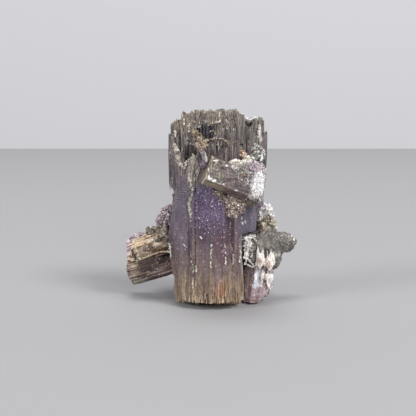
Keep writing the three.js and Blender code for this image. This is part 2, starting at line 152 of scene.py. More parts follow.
def noiseAt(tree, vector, size, detail=2.0, roughness=0.55, wanted="Fac"):
    scale = calc(tree, "DIVIDE", 1.0, size) if isinstance(size, bpy.types.NodeSocket) else 1.0 / size
    feeds = {"Vector": vector, "Scale": scale, "Detail": detail, "Roughness": roughness}
    return addNode(tree, "ShaderNodeTexNoise", feeds).outputs[wanted]


def cellsAt(tree, vector, size, feature="F1"):
    scale = calc(tree, "DIVIDE", 1.0, size) if isinstance(size, bpy.types.NodeSocket) else 1.0 / size
    return addNode(
        tree, "ShaderNodeTexVoronoi", {"Vector": vector, "Scale": scale}, feature=feature
    ).outputs


def colour(red, green, blue):  # 0 to 255 as seen on screen
    parts = [part / 255 for part in (red, green, blue)]
    linear = [part / 12.92 if part <= 0.04045 else ((part + 0.055) / 1.055) ** 2.4 for part in parts]
    return (*linear, 1.0)


def newTree(name, kind, inputs, outputs):
    tree = bpy.data.node_groups.new(name, kind)
    for side, rows in (("INPUT", inputs), ("OUTPUT", outputs)):
        for socketName, socketKind, *value in rows:
            socket = tree.interface.new_socket(
                name=socketName, in_out=side, socket_type="NodeSocket" + socketKind
            )
            if value:
                socket.default_value = value[0]
    return tree, tree.nodes.new("NodeGroupInput").outputs, tree.nodes.new("NodeGroupOutput").inputs


# the skin of a crystal: parallel individuals along Z, finer lines on them, grains and pits;
# everything is cut inwards, so a skinned piece keeps its size

skinHabit = {
    "bendSize": 5.0, "bendBy": 1.1,  # mm, how far apart and how much the ribs bend
    "grooveShare": 0.16, "grooveDepth": 0.6, "stepDepth": 0.75,  # of a rib's width and depth
    "calmFade": 4.0,  # mm
    "fineStretch": 0.07, "pitStretch": 0.35, "pitEdge": 0.1,
}


def makeSkinTree(habit):
    rows = [
        ("Geometry", "Geometry"),
        ("Rib Width", "Float", 0.9), ("Rib Depth", "Float", 0.25), ("Rib Stretch", "Float", 0.03),
        ("End Step", "Float", 0.3),
        ("Fine Width", "Float", 0.35), ("Fine Depth", "Float", 0.08),
        ("Grain Size", "Float", 0.4), ("Grain Depth", "Float", 0.04),
        ("Bubble Size", "Float", 0.9), ("Bubble Depth", "Float", 0.0),
        ("Pit Size", "Float", 2.0), ("Pit Depth", "Float", 0.0), ("Pit Share", "Float", 0.3),
        ("Calm From", "Float", 1000.0), ("Calm To", "Float", 1001.0), ("Calm Share", "Float", 0.4),
        ("Seed", "Float", 0.0), ("Material", "Material"),
    ]
    tree, given, result = newTree("crystalSkin", "GeometryNodeTree", rows, [("Geometry", "Geometry")])
    place = vectorCalc(tree, "SCALE", addNode(tree, "GeometryNodeInputPosition").outputs[0], 1000.0)
    moved = vectorCalc(tree, "ADD", place, vectorOf(tree, given["Seed"], given["Seed"], given["Seed"]))
    height = partsOf(tree, place)[2]
    wobble = noiseAt(tree, moved, habit["bendSize"], 1.0, wanted="Color")
    wobble = vectorCalc(tree, "SUBTRACT", wobble, (0.5, 0.5, 0.5))
    bent = vectorCalc(tree, "ADD", moved, vectorCalc(tree, "SCALE", wobble, habit["bendBy"]))
    along = vectorCalc(tree, "MULTIPLY", bent, vectorOf(tree, 1.0, 1.0, given["Rib Stretch"]))
    tone = partsOf(tree, cellsAt(tree, along, given["Rib Width"])["Color"])[0]
    edge = cellsAt(tree, along, given["Rib Width"], "DISTANCE_TO_EDGE")["Distance"]
    groove = spread(tree, edge, 0.0, habit["grooveShare"], 1.0, 0.0, smooth=True)

    # the ribs calm down between two heights
    below = calc(tree, "SUBTRACT", given["Calm From"], habit["calmFade"])
    above = plus(tree, given["Calm To"], habit["calmFade"])
    rise = spread(tree, height, below, given["Calm From"], smooth=True)
    fall = spread(tree, height, given["Calm To"], above, 1.0, 0.0, smooth=True)
    calmness = times(tree, rise, fall)
    strength = mixNumber(tree, calmness, 1.0, given["Calm Share"])

    normal = addNode(tree, "GeometryNodeInputNormal").outputs[0]
    endFace = spread(tree, calc(tree, "ABSOLUTE", partsOf(tree, normal)[2]), 0.5, 0.85, smooth=True)
    ribDepth = mixNumber(tree, endFace, given["Rib Depth"], given["End Step"])
    steps = times(tree, calc(tree, "SUBTRACT", 1.0, tone), habit["stepDepth"])
    ribs = times(tree, plus(tree, steps, times(tree, groove, habit["grooveDepth"])), ribDepth, strength)

    fineAlong = vectorCalc(tree, "MULTIPLY", bent, (1.0, 1.0, habit["fineStretch"]))
    fine = spread(tree, noiseAt(tree, fineAlong, given["Fine Width"]), 0.3, 0.7, 1.0, 0.0)
    grain = spread(tree, noiseAt(tree, moved, given["Grain Size"], 3.0), 0.3, 0.7, 1.0, 0.0)
    bubble = times(tree, cellsAt(tree, moved, given["Bubble Size"])["Distance"], calmness)
    pitAlong = vectorCalc(tree, "MULTIPLY", bent, (1.0, 1.0, habit["pitStretch"]))
    pitEdge = calc(tree, "SUBTRACT", 0.75, times(tree, given["Pit Share"], 0.5))
    pitNoise = noiseAt(tree, pitAlong, given["Pit Size"], 3.0)
    pit = spread(tree, pitNoise, pitEdge, plus(tree, pitEdge, habit["pitEdge"]), smooth=True)
    offEnds = calc(tree, "SUBTRACT", 1.0, times(tree, endFace, 0.8))
    pit = times(tree, pit, strength, offEnds)
    depth = plus(
        tree, ribs, times(tree, fine, given["Fine Depth"], strength),
        times(tree, grain, given["Grain Depth"]),
        times(tree, bubble, given["Bubble Depth"]), times(tree, pit, given["Pit Depth"]),
    )
    geometry = given["Geometry"]
    for name, kind, value in (
        ("growth", "FLOAT_VECTOR", place), ("groove", "FLOAT", groove), ("tone", "FLOAT", tone),
        ("pit", "FLOAT", pit), ("endFace", "FLOAT", endFace),
    ):
        geometry = keepAs(tree, geometry, name, value, kind)
    inward = vectorCalc(tree, "SCALE", normal, times(tree, depth, -mm))
    shaped = addNode(tree, "GeometryNodeSetPosition", {"Geometry": geometry, "Offset": inward}).outputs[0]
    finishTree(tree, shaped, given["Material"], result)
    return tree


def keepAs(tree, geometry, name, value, kind="FLOAT", domain="POINT"):
    made = addNode(tree, "GeometryNodeStoreNamedAttribute", data_type=kind, domain=domain)
    for key, given in (("Geometry", geometry), ("Name", name), ("Value", value)):
        feed(tree, made.inputs[key], given)
    return made.outputs[0]


def finishTree(tree, geometry, material, result):
    real = addNode(tree, "GeometryNodeRealizeInstances", {0: geometry}).outputs[0]
    dressed = addNode(tree, "GeometryNodeSetMaterial", {"Geometry": real, "Material": material}).outputs[0]
    tree.links.new(dressed, result[0])


# six-sided needles or small crystals scattered over a surface

def makePrismTree():
    rows = [
        ("Geometry", "Geometry"),
        ("Density", "Float", 0.5), ("Seed", "Int", 1),
        ("Centre", "Vector"), ("Reach", "Vector", (100.0, 100.0, 100.0)), ("Ragged", "Float", 1.0),
        ("Clumping", "Float", 0.5), ("Clump Size", "Float", 1.6),
        ("Steepest", "Float", 0.6),  # how far the surface may face up or down
        ("Follow Surface", "Float", 0.0), ("Lean", "Float", 0.05),
        ("Width Low", "Float", 0.2), ("Width High", "Float", 0.4),
        ("Length Low", "Float", 1.0), ("Length High", "Float", 3.0),
        ("Taper", "Float", 0.6), ("Foot Taper", "Float", 1.0), ("Slant", "Float", 0.6),
        ("Sink", "Float", 0.3), ("Set Back", "Float", 0.5),
        ("Floor", "Float", -1000.0), ("Ceiling", "Float", 1000.0),
        ("Material", "Material"),
    ]
    tree, given, result = newTree("scatteredPrisms", "GeometryNodeTree", rows, [("Geometry", "Geometry")])
    place = vectorCalc(tree, "SCALE", addNode(tree, "GeometryNodeInputPosition").outputs[0], 1000.0)
    unsure = vectorCalc(tree, "SUBTRACT", noiseAt(tree, place, 1.4, wanted="Color"), (0.5, 0.5, 0.5))
    unsure = vectorCalc(tree, "SCALE", unsure, given["Ragged"])

    away = vectorCalc(tree, "DIVIDE", vectorCalc(tree, "SUBTRACT", place, given["Centre"]), given["Reach"])
    away = vectorCalc(tree, "LENGTH", vectorCalc(tree, "ADD", away, unsure))
    inside = calc(tree, "LESS_THAN", away, 1.0)
    normal = addNode(tree, "GeometryNodeInputNormal").outputs[0]
    level = calc(tree, "ABSOLUTE", partsOf(tree, normal)[2])
    clump = noiseAt(tree, place, given["Clump Size"])
    chosen = times(
        tree, inside, calc(tree, "LESS_THAN", level, given["Steepest"]),
        calc(tree, "GREATER_THAN", clump, times(tree, given["Clumping"], 0.9)),
    )
    density = times(tree, given["Density"], 1e6, chosen)
    feeds = {"Mesh": given["Geometry"], "Density": density, "Seed": given["Seed"]}
    points = addNode(tree, "GeometryNodeDistributePointsOnFaces", feeds).outputs

    sizes = {
        "Vertices": 6, "Radius Top": given["Taper"], "Radius Bottom": given["Foot Taper"], "Depth": 1.0
    }
    cone = addNode(tree, "GeometryNodeMeshCone", sizes).outputs[0]
    corner = partsOf(tree, addNode(tree, "GeometryNodeInputPosition").outputs[0])
    tipped = keepAs(tree, cone, "tip", corner[2])
    onTop = calc(tree, "GREATER_THAN", corner[2], 0.9)
    lift = times(tree, calc(tree, "SUBTRACT", corner[0], given["Taper"]), onTop, given["Slant"], 0.35)
    slanted = addNode(
        tree, "GeometryNodeSetPosition", {"Geometry": tipped, "Offset": vectorOf(tree, 0.0, 0.0, lift)}
    )

    def drawn(low, high, offset):
        made = addNode(tree, "FunctionNodeRandomValue", {2: low, 3: high}, data_type="FLOAT")
        feed(tree, made.inputs["Seed"], plus(tree, given["Seed"], offset))
        return made.outputs[1]

    width = drawn(given["Width Low"], given["Width High"], 1.0)
    length = drawn(given["Length Low"], given["Length High"], 2.0)
    height = partsOf(tree, place)[2]
    above = calc(tree, "MAXIMUM", calc(tree, "SUBTRACT", height, given["Floor"]), 0.0)
    sink = calc(tree, "MINIMUM", times(tree, length, given["Sink"]), above)
    opposite = times(tree, given["Lean"], -1.0)
    leans = [drawn(opposite, given["Lean"], offset) for offset in (4.0, 5.0)]
    angles = vectorOf(tree, *leans, drawn(0.0, 6.283, 3.0))
    turn = addNode(tree, "FunctionNodeEulerToRotation", {0: angles}).outputs[0]
    feeds = {"Factor": given["Follow Surface"], "Vector": points["Normal"]}
    follow = addNode(tree, "FunctionNodeAlignRotationToVector", feeds, axis="Z").outputs[0]
    rotation = addNode(
        tree, "FunctionNodeRotateRotation", {0: follow, 1: turn}, rotation_space="LOCAL"
    ).outputs[0]
    half = times(tree, width, 0.5)
    back = vectorCalc(tree, "SCALE", points["Normal"], times(tree, width, given["Set Back"], -mm))
    axis = addNode(tree, "FunctionNodeRotateVector", {0: (0.0, 0.0, 1.0), 1: rotation}).outputs[0]
    down = vectorCalc(tree, "SCALE", axis, times(tree, sink, -mm))
    feeds = {"Geometry": points[0], "Offset": vectorCalc(tree, "ADD", back, down)}
    pushed = addNode(tree, "GeometryNodeSetPosition", feeds).outputs[0]
    # from here on the height is that of each copy's foot
    length = calc(
        tree, "MINIMUM", length,
        calc(tree, "MAXIMUM", calc(tree, "SUBTRACT", given["Ceiling"], height), 0.1),
    )
    size = vectorCalc(tree, "SCALE", vectorOf(tree, half, half, length), mm)
    feeds = {"Points": pushed, "Instance": slanted.outputs[0], "Rotation": rotation, "Scale": size}
    copies = addNode(tree, "GeometryNodeInstanceOnPoints", feeds).outputs[0]
    toned = keepAs(tree, copies, "tone", drawn(0.0, 1.0, 6.0), domain="INSTANCE")
    finishTree(tree, toned, given["Material"], result)
    return tree


skinTree = makeSkinTree(skinHabit)
prismTree = makePrismTree()


# helpers for meshes

def linked(name, mesh):
    piece = bpy.data.objects.new(name, mesh)
    bpy.context.scene.collection.objects.link(piece)
    return piece


def plainMesh(piece):  # with its modifiers applied
    return bpy.data.meshes.new_from_object(piece.evaluated_get(bpy.context.evaluated_depsgraph_get()))


def grown(mesh, name, tree, values):
    piece = linked(name, mesh)
    modifier = piece.modifiers.new("grow", "NODES")
    modifier.node_group = tree
    rows = [row for row in tree.interface.items_tree if row.item_type == "SOCKET" and row.in_out == "INPUT"]
    sockets = {row.name: row.identifier for row in rows}
    for key, value in values.items():
        modifier[sockets[key]] = value
    result = plainMesh(piece)
    piece.modifiers.remove(modifier)
    piece.data = result
    result.name = name
    return piece


def remeshed(mesh, voxel):
    piece = linked("remeshing", mesh)
    modifier = piece.modifiers.new("remesh", "REMESH")
    modifier.mode = "VOXEL"
    modifier.voxel_size = voxel * mm
    result = plainMesh(piece)
    bpy.data.objects.remove(piece)
    return result


def nodeMesh(nodeName):  # a merged copy of a CAD node's mesh
    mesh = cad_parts[nodeName].data.copy()
    mesh.materials.clear()
    work = bmesh.new()
    work.from_mesh(mesh)
    bmesh.ops.remove_doubles(work, verts=work.verts, dist=0.001 * mm)
    work.to_mesh(mesh)
    work.free()
    return mesh


def makeFrontTree():  # every CAD node together, to find where something rests on the front
    corners = []
    faces = []
    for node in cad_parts.values():
        first = len(corners)
        corners += [vert.co.copy() for vert in node.data.vertices]
        faces += [[first + i for i in face.vertices] for face in node.data.polygons]
    return BVHTree.FromPolygons(corners, faces)


frontTree = makeFrontTree()


def onFront(x, z, out=0.0):  # the place on the front at x and z, in mm, moved out by so much
    hit = None
    while hit is None:
        hit = frontTree.ray_cast(at(x, -40.0, z), Vector((0, 1, 0)))[0]
        z -= 0.2  # comes down to the edge where the top is lower
    return (x, hit.y / mm - partShift.y - out, hit.z / mm)


def ballShape(divisions):  # corners and faces of a ball of radius 1
    work = bmesh.new()
    bmesh.ops.create_icosphere(work, subdivisions=divisions, radius=1.0)
    corners = [vert.co.copy() for vert in work.verts]
    faces = [[vert.index for vert in face.verts] for face in work.faces]
    work.free()
    return corners, faces


fineBall = ballShape(4)
coarseBall = ballShape(2)


def meshOf(name, shapes):  # one mesh out of many lists of corners and faces
    corners = []
    faces = []
    for shapeCorners, shapeFaces in shapes:
        first = len(corners)
        corners += shapeCorners
        faces += [[first + i for i in face] for face in shapeFaces]
    mesh = bpy.data.meshes.new(name)
    mesh.from_pydata(corners, [], faces)
    return mesh


def ballAt(shape, centre, radii):
    size = Vector(radii) * mm
    middle = at(*centre)
    return [middle + corner * size for corner in shape[0]], shape[1]


def lumpsMesh(lumps, voxel, twigs=(), runs=()):  # ellipsoids, bent twigs and runs along the front
    shapes = [ballAt(fineBall, centre, radii) for centre, radii in lumps]
    onSurface = [(thick, *(onFront(x, z, thick * 0.55) for x, z in points)) for thick, *points in runs]
    for thick, *points in [*twigs, *onSurface]:
        for start, end in zip(points, points[1:]):
            steps = max(2, round((Vector(end) - Vector(start)).length / (thick * 0.7)))
            for i in range(steps + 1):
                shapes.append(ballAt(coarseBall, Vector(start).lerp(Vector(end), i / steps), (thick,) * 3))
    return remeshed(meshOf("lumps", shapes), voxel)


hexagon = [(math.cos(i * math.pi / 3), math.sin(i * math.pi / 3)) for i in range(6)]
needleSides = [(i, (i + 1) % 6, (i + 1) % 6 + 6, i + 6) for i in range(6)]
needleFaces = needleSides + [tuple(range(5, -1, -1)), tuple(range(6, 12))]


def needlesMesh(name, needles):  # six-sided needles: foot, tip, width and tone of each
    shapes = []
    tones = []
    for foot, tip, width, tone in needles:
        long = Vector(tip) - Vector(foot)
        lean = Vector((0, 0, 1)).rotation_difference(long)
        low = [at(*foot) + lean @ Vector((x, y, 0)) * width * 0.5 * mm for x, y in hexagon]
        high = [at(*tip) + lean @ Vector((x, y, 0.3 * x)) * width * 0.36 * mm for x, y in hexagon]
        shapes.append((low + high, needleFaces))
        tones += [tone] * 12
    mesh = meshOf(name, shapes)
    mesh.attributes.new("tone", "FLOAT", "POINT").data.foreach_set("value", tones)
    tips = ([0.0] * 6 + [1.0] * 6) * len(needles)
    mesh.attributes.new("tip", "FLOAT", "POINT").data.foreach_set("value", tips)
    return mesh


def leavesMesh(leaves, voxel):  # pointed leaves from foot to tip, flat towards the front
    shapes = []
    for foot, tip, width, thick in leaves:
        long = Vector(tip) - Vector(foot)
        lean = Vector((0, 0, 1)).rotation_difference(long)
        middle = at(*((Vector(foot) + Vector(tip)) / 2))
        corners = []
        for corner in fineBall[0]:
            slim = 1.0 - 0.55 * abs(corner.z) ** 1.5
            x = corner.x * slim
            y = corner.y * slim - 0.35 * (1 - x * x)
            corners.append(
                middle + lean @ Vector((x * width / 2, y * thick / 2, corner.z * long.length / 2)) * mm
            )
        shapes.append((corners, fineBall[1]))
    return remeshed(meshOf("leaves", shapes), voxel)


def axisTurn(root, tip):  # turns a crystal's axis upright
    return (Vector(tip) - Vector(root)).rotation_difference(Vector((0, 0, 1))).to_matrix().to_4x4()


upright = Matrix.Identity(4)


def skinned(name, mesh, material, values, turn=upright):
    mesh.transform(turn)
    piece = grown(mesh, name, skinTree, {**values, "Material": material})
    piece.data.transform(turn.inverted())
    piece.data.polygons.foreach_set("use_smooth", [True] * len(piece.data.polygons))
    return piece


def scattered(name, surface, material, values):
    mesh = surface.copy()
    mesh.materials.clear()
    if "Centre" in values:
        values = {**values, "Centre": Vector(values["Centre"]) + partShift}
    return grown(mesh, name, prismTree, {**values, "Material": material})


def joined(name, pieces, material):
    work = bmesh.new()
    for piece in pieces:
        work.from_mesh(piece.data)
    for face in work.faces:
        face.material_index = 0
    mesh = bpy.data.meshes.new(name)
    work.to_mesh(mesh)
    work.free()
    mesh.materials.append(material)
    for piece in pieces:
        bpy.data.objects.remove(piece)
    return linked(name, mesh)


def finishPiece(piece, slotName, *replaced):
    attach(piece, "root")
    if replaced:
        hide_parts(*replaced)
    print("made", piece.name, len(piece.data.polygons), "faces")


# shader groups that several finishes share

def makePatchGroup():  # 1 inside a ragged ellipsoid
    rows = [
        ("Vector", "Vector"), ("Centre", "Vector"), ("Reach", "Vector", (1.0, 1.0, 1.0)),
        ("Ragged", "Float", 0.5), ("Ragged Size", "Float", 1.0),
    ]
    tree, given, result = newTree("patch", "ShaderNodeTree", rows, [("Mask", "Float")])
    away = vectorCalc(
        tree, "DIVIDE", vectorCalc(tree, "SUBTRACT", given["Vector"], given["Centre"]), given["Reach"]
    )
    rough = noiseAt(tree, given["Vector"], given["Ragged Size"], 4.0, 0.65)
    uneven = times(tree, calc(tree, "SUBTRACT", rough, 0.5), given["Ragged"], 2.0)
    edge = plus(tree, vectorCalc(tree, "LENGTH", away), uneven)
    tree.links.new(spread(tree, edge, 0.75, 1.1, 1.0, 0.0, smooth=True), result[0])
    return tree


def makeStriaeGroup():  # fine lines along the growth axis, and a tone for each little individual
    rows = [("Growth", "Vector"), ("Width", "Float", 0.3), ("Stretch", "Float", 0.05)]
    outputs = [("Lines", "Float"), ("Tone", "Float"), ("Breaks", "Float")]
    tree, given, result = newTree("striae", "ShaderNodeTree", rows, outputs)
    along = vectorCalc(tree, "MULTIPLY", given["Growth"], vectorOf(tree, 1.0, 1.0, given["Stretch"]))
    lines = spread(tree, noiseAt(tree, along, given["Width"], 3.0, 0.6), 0.32, 0.68)
    individual = partsOf(tree, cellsAt(tree, along, times(tree, given["Width"], 1.8))["Color"])[0]
    breaks = noiseAt(tree, given["Growth"], times(tree, given["Width"], 1.7), 4.0, 0.7)
    for made, socket in zip((lines, individual, breaks), result):
        tree.links.new(made, socket)
    return tree


def makeSugarGroup():  # tiny grains: which of them are specks, the facet each one shows and its tone
    rows = [("Vector", "Vector"), ("Size", "Float", 0.25), ("Share", "Float", 0.2)]
    outputs = [("Specks", "Float"), ("Facet", "Float"), ("Tone", "Float")]
    tree, given, result = newTree("sugar", "ShaderNodeTree", rows, outputs)
    cells = cellsAt(tree, given["Vector"], given["Size"])
    pick = partsOf(tree, cells["Color"])
    leaning = vectorCalc(tree, "SUBTRACT", cells["Color"], (0.5, 0.5, 0.5))
    facet = dotOf(tree, given["Vector"], leaning)
    chosen = calc(tree, "LESS_THAN", pick[0], given["Share"])
    middle = spread(tree, cells["Distance"], 0.25, 0.5, 1.0, 0.0, smooth=True)
    for made, socket in zip((times(tree, chosen, middle), facet, pick[2]), result):
        tree.links.new(made, socket)
    return tree


patchGroup = makePatchGroup()
striaeGroup = makeStriaeGroup()
sugarGroup = makeSugarGroup()


def useGroup(tree, group, **feeds):
    made = addNode(tree, "ShaderNodeGroup", node_tree=group)
    for name, value in feeds.items():
        feed(tree, made.inputs[name], value)
    return made.outputs


def patchAt(tree, place, centre, reach, ragged, raggedSize):
    feeds = {"Vector": place, "Centre": centre, "Reach": reach, "Ragged": ragged, "Ragged Size": raggedSize}
    return useGroup(tree, patchGroup, **feeds)[0]


def patched(tree, tint, place, patches, ragged, raggedSize):  # each has a centre, reach, share and colour
    for centre, reach, share, wanted in patches:
        mask = patchAt(tree, place, centre, reach, ragged, raggedSize)
        tint = mixColour(tree, times(tree, mask, share), tint, colour(*wanted))
    return tint


def spotted(tree, tint, place, spots, ragged, raggedSize, share, wanted):  # each has a centre and reach
    patches = [(centre, reach, share, wanted) for centre, reach in spots]
    return patched(tree, tint, place, patches, ragged, raggedSize)


def attribute(tree, name, wanted="Fac"):
    return addNode(tree, "ShaderNodeAttribute", attribute_name=name).outputs[wanted]


def newMaterial(name):
    material = bpy.data.materials.new(name)
    material.use_nodes = True
    tree = material.node_tree
    tree.nodes.clear()
    shader = tree.nodes.new("ShaderNodeBsdfPrincipled")
    output = tree.nodes.new("ShaderNodeOutputMaterial")
    tree.links.new(shader.outputs[0], output.inputs[0])
    return material, tree, shader


def placeMm(tree):  # mm from the column's own axes
    coordinates = addNode(tree, "ShaderNodeTexCoord").outputs["Object"]
    return vectorCalc(tree, "SUBTRACT", vectorCalc(tree, "SCALE", coordinates, 1000.0), tuple(partShift))


def ramp(tree, value, stops):  # colours between values
    low, high = stops[0][0], stops[-1][0]
    made = addNode(tree, "ShaderNodeValToRGB", {0: spread(tree, value, low, high)})
    elements = made.color_ramp.elements
    while len(elements) < len(stops):
        elements.new(0.5)
    for element, (height, tint) in zip(elements, stops):
        element.position = (height - low) / (high - low)
        element.color = colour(*tint)
    return made.outputs[0]


def finished(tree, shader, tint, roughness, ior=aragoniteIor):
    feed(tree, shader.inputs["Base Color"], tint)
    feed(tree, shader.inputs["Roughness"], roughness)
    shader.inputs["IOR"].default_value = ior


def bumped(tree, shader, height, distance, strength=0.7):
    feeds = {"Strength": strength, "Distance": distance * mm, "Height": height}
    tree.links.new(addNode(tree, "ShaderNodeBump", feeds).outputs[0], shader.inputs["Normal"])


# the column

columnLook = {
    "voxel": 0.215,
    "skin": {
        "Rib Width": 0.7, "Rib Depth": 0.3, "Rib Stretch": 0.03, "End Step": 0.14,
        "Fine Width": 0.42, "Fine Depth": 0.12, "Grain Size": 0.5, "Grain Depth": 0.05,
        "Bubble Size": 0.8, "Bubble Depth": 0.14,
        "Pit Size": 2.4, "Pit Depth": 0.45, "Pit Share": 0.3,
        "Calm From": 6.0, "Calm To": 28.5, "Calm Share": 0.1, "Seed": 3.0,
    },
    "heights": [  # mm, body colour
        (0.0, (194, 174, 148)), (1.6, (160, 140, 116)), (5.5, (138, 118, 103)), (10.0, (114, 96, 94)),
        (17.0, (98, 82, 91)), (24.0, (104, 91, 108)), (30.0, (116, 104, 112)), (35.5, (110, 101, 99)),
        (42.0, (116, 107, 100)), (45.0, (138, 127, 115)),
    ],
    "tints": {  # centre, reach, share, colour
        "violetHeart": ((0.4, -7.5, 24.0), (5.0, 5.0, 5.0), 0.75, (102, 84, 118)),
        "violetLow": ((1.5, -7.5, 17.5), (4.6, 5.0, 3.0), 0.75, (84, 66, 80)),
        "redTinge": ((3.0, -7.5, 14.0), (2.6, 4.0, 4.0), 0.6, (94, 68, 74)),
        "blueFlank": ((8.8, -2.0, 20.0), (3.0, 4.0, 6.0), 0.7, (112, 106, 124)),
        "smoothLeft": ((-6.8, -3.4, 20.0), (2.6, 4.0, 8.0), 0.6, (124, 112, 126)),
        "mauveShoulder": ((-7.4, -2.4, 32.0), (3.4, 4.0, 5.5), 0.6, (132, 118, 128)),
        "tanUnderCross": ((5.2, -6.8, 22.8), (2.6, 2.5, 3.0), 0.8, (140, 120, 106)),
        "crustyShoulder": ((-7.0, -4.0, 34.0), (1.5, 3.0, 3.6), 0.7, (184, 170, 158)),
        # painted shade: the next three patches darken the recess above the front ledge, the face under the
        # ledge and the hollow beside the bundle
        "recessShade": ((-0.9, -5.0, 40.0), (1.7, 2.6, 2.5), 0.9, (76, 73, 84)),
        "shadeUnderLedge": ((1.0, -6.6, 35.6), (4.6, 2.0, 3.2), 0.4, (88, 80, 82)),
        "shadeBesideBundle": ((-5.6, -4.4, 35.2), (0.9, 2.0, 2.0), 0.8, (62, 54, 58)),
        "mauveFoot": ((1.6, -8.0, 6.6), (1.2, 2.0, 3.6), 0.6, (152, 130, 138)),
        "lilacRight": ((7.6, -4.0, 12.0), (1.6, 3.0, 5.0), 0.55, (158, 142, 146)),
    },
    # painted shade: the colour laid into the grooves and pits
    "groove": (52, 42, 44),
    "pale": (214, 204, 192), "ridgeShare": 0.7, "glintFleckShare": 0.8,
    "drift": 7.0,  # mm up or down that a colour may stray from its height
    "rust": (158, 108, 70), "rustShare": 0.75, "rustFades": (3.0, 9.0),  # mm
    "hollowShadeHeights": (24.0, 36.0), "hollowShadeShares": (0.25, 0.9),  # painted shade in the hollows, more of it towards the top
    "ripples": ((-7.2, -3.2, 26.4), (2.0, 3.5, 2.4)),  # centre and reach of the level growth lines
    "lineWidth": 0.3, "lineStretch": 0.06, "grainSize": 0.34, "grainShare": 0.07, "cloudSize": 2.2,
    "lineShade": (0.54, 1.42), "ribShade": (0.66, 1.32), "cloudShade": (0.76, 1.24),
    "grainShade": (0.84, 1.16),
    # heights between which the lines fade and come back
    "clearLow": (4.0, 12.0), "clearHigh": (28.0, 34.0),
    "clearLines": 0.34, "roughness": (0.12, 0.42), "relief": 0.25,
}


def makeColumnTintGroup(look):
    tree, given, result = newTree(
        "columnTint", "ShaderNodeTree", [("Vector", "Vector")], [("Colour", "Color")]
    )
    place = given["Vector"]
    height = partsOf(tree, place)[2]
    drift = noiseAt(tree, vectorCalc(tree, "MULTIPLY", place, (1.0, 1.0, 0.18)), 1.8, 3.0)
    strays = spread(tree, drift, 0.2, 0.8, -look["drift"], look["drift"])
    tint = ramp(tree, plus(tree, height, strays), look["heights"])
    tint = patched(tree, tint, place, look["tints"].values(), 0.5, 3.0)
    runs = noiseAt(tree, vectorCalc(tree, "MULTIPLY", place, (1.0, 1.0, 0.3)), 0.8, 4.0, 0.65)
    low = spread(tree, height, *look["rustFades"], 1.0, 0.0)
    rust = times(tree, spread(tree, runs, 0.52, 0.62), low)
    tint = mixColour(tree, times(tree, rust, look["rustShare"]), tint, colour(*look["rust"]))
    tree.links.new(tint, result[0])
    return tree


columnTintGroup = makeColumnTintGroup(columnLook)


def shaded(tree, tint, value, low, high):  # makes a colour darker or lighter by a value from 0 to 1
    return mixColour(tree, 1.0, tint, grey(tree, spread(tree, value, 0.0, 1.0, low, high)), "MULTIPLY")


def columnMaterial(look):
    material, tree, shader = newMaterial("violetColumn")
    place = placeMm(tree)
    height = partsOf(tree, place)[2]
    tint = useGroup(tree, columnTintGroup, Vector=place)[0]
    striae = useGroup(tree, striaeGroup, Growth=place, Width=look["lineWidth"], Stretch=look["lineStretch"])
    sugar = useGroup(tree, sugarGroup, Vector=place, Size=look["grainSize"], Share=look["grainShare"])
    # lines run the whole way up, and fade where the body is clear
    clear = times(
        tree, spread(tree, height, *look["clearLow"]), spread(tree, height, *look["clearHigh"], 1.0, 0.0),
    )
    lined = mixNumber(tree, clear, 1.0, look["clearLines"])
    tint = mixColour(tree, lined, tint, shaded(tree, tint, striae["Lines"], *look["lineShade"]))
    tint = mixColour(tree, lined, tint, shaded(tree, tint, attribute(tree, "tone"), *look["ribShade"]))
    cloud = noiseAt(tree, place, look["cloudSize"], 5.0, 0.62)
    tint = shaded(tree, tint, spread(tree, cloud, 0.32, 0.68), *look["cloudShade"])
    tint = shaded(tree, tint, sugar["Tone"], *look["grainShade"])
    # painted shade: grooves and pits are darkened, more of it towards the top
    low = calc(tree, "MAXIMUM", times(tree, attribute(tree, "groove"), 0.75), attribute(tree, "pit"))
    hollowShade = times(tree, low, spread(tree, height, *look["hollowShadeHeights"], *look["hollowShadeShares"]))
    tint = mixColour(tree, hollowShade, tint, colour(*look["groove"]))
    # painted glints in the flecks, and pale ridges that are partly the column's own pale striae and partly
    # painted highlight
    broken = spread(tree, striae["Breaks"], 0.52, 0.62)
    ridge = times(tree, spread(tree, striae["Lines"], 0.7, 1.0), broken, lined, look["ridgeShare"])
    glintFleck = times(tree, sugar["Specks"], spread(tree, cloud, 0.42, 0.6), look["glintFleckShare"])
    tint = mixColour(tree, calc(tree, "MAXIMUM", ridge, glintFleck), tint, colour(*look["pale"]))
    finished(tree, shader, tint, spread(tree, striae["Breaks"], 0.35, 0.65, *look["roughness"]))
    centre, reach = look["ripples"]
    level = vectorCalc(tree, "MULTIPLY", place, (0.12, 0.12, 1.0))
    feeds = {"Vector": level, "Scale": 0.55, "Distortion": 2.4, "Detail": 2.0, "Detail Scale": 1.0}
    waves = addNode(tree, "ShaderNodeTexWave", feeds)
    waves.bands_direction = "Z"
    ripples = times(tree, waves.outputs["Fac"], patchAt(tree, place, centre, reach, 0.4, 3.0), 0.9)
    relief = plus(tree, times(tree, striae["Lines"], lined, 0.8), times(tree, sugar["Facet"], 0.9), ripples)
    bumped(tree, shader, relief, look["relief"])
    return material


grainHabits = {  # sizes and relief in mm
    "cloudSize": 0.7, "cloudShade": (0.7, 1.28), "facetSize": 0.45, "facetShare": 0.1, "relief": 0.3,
}


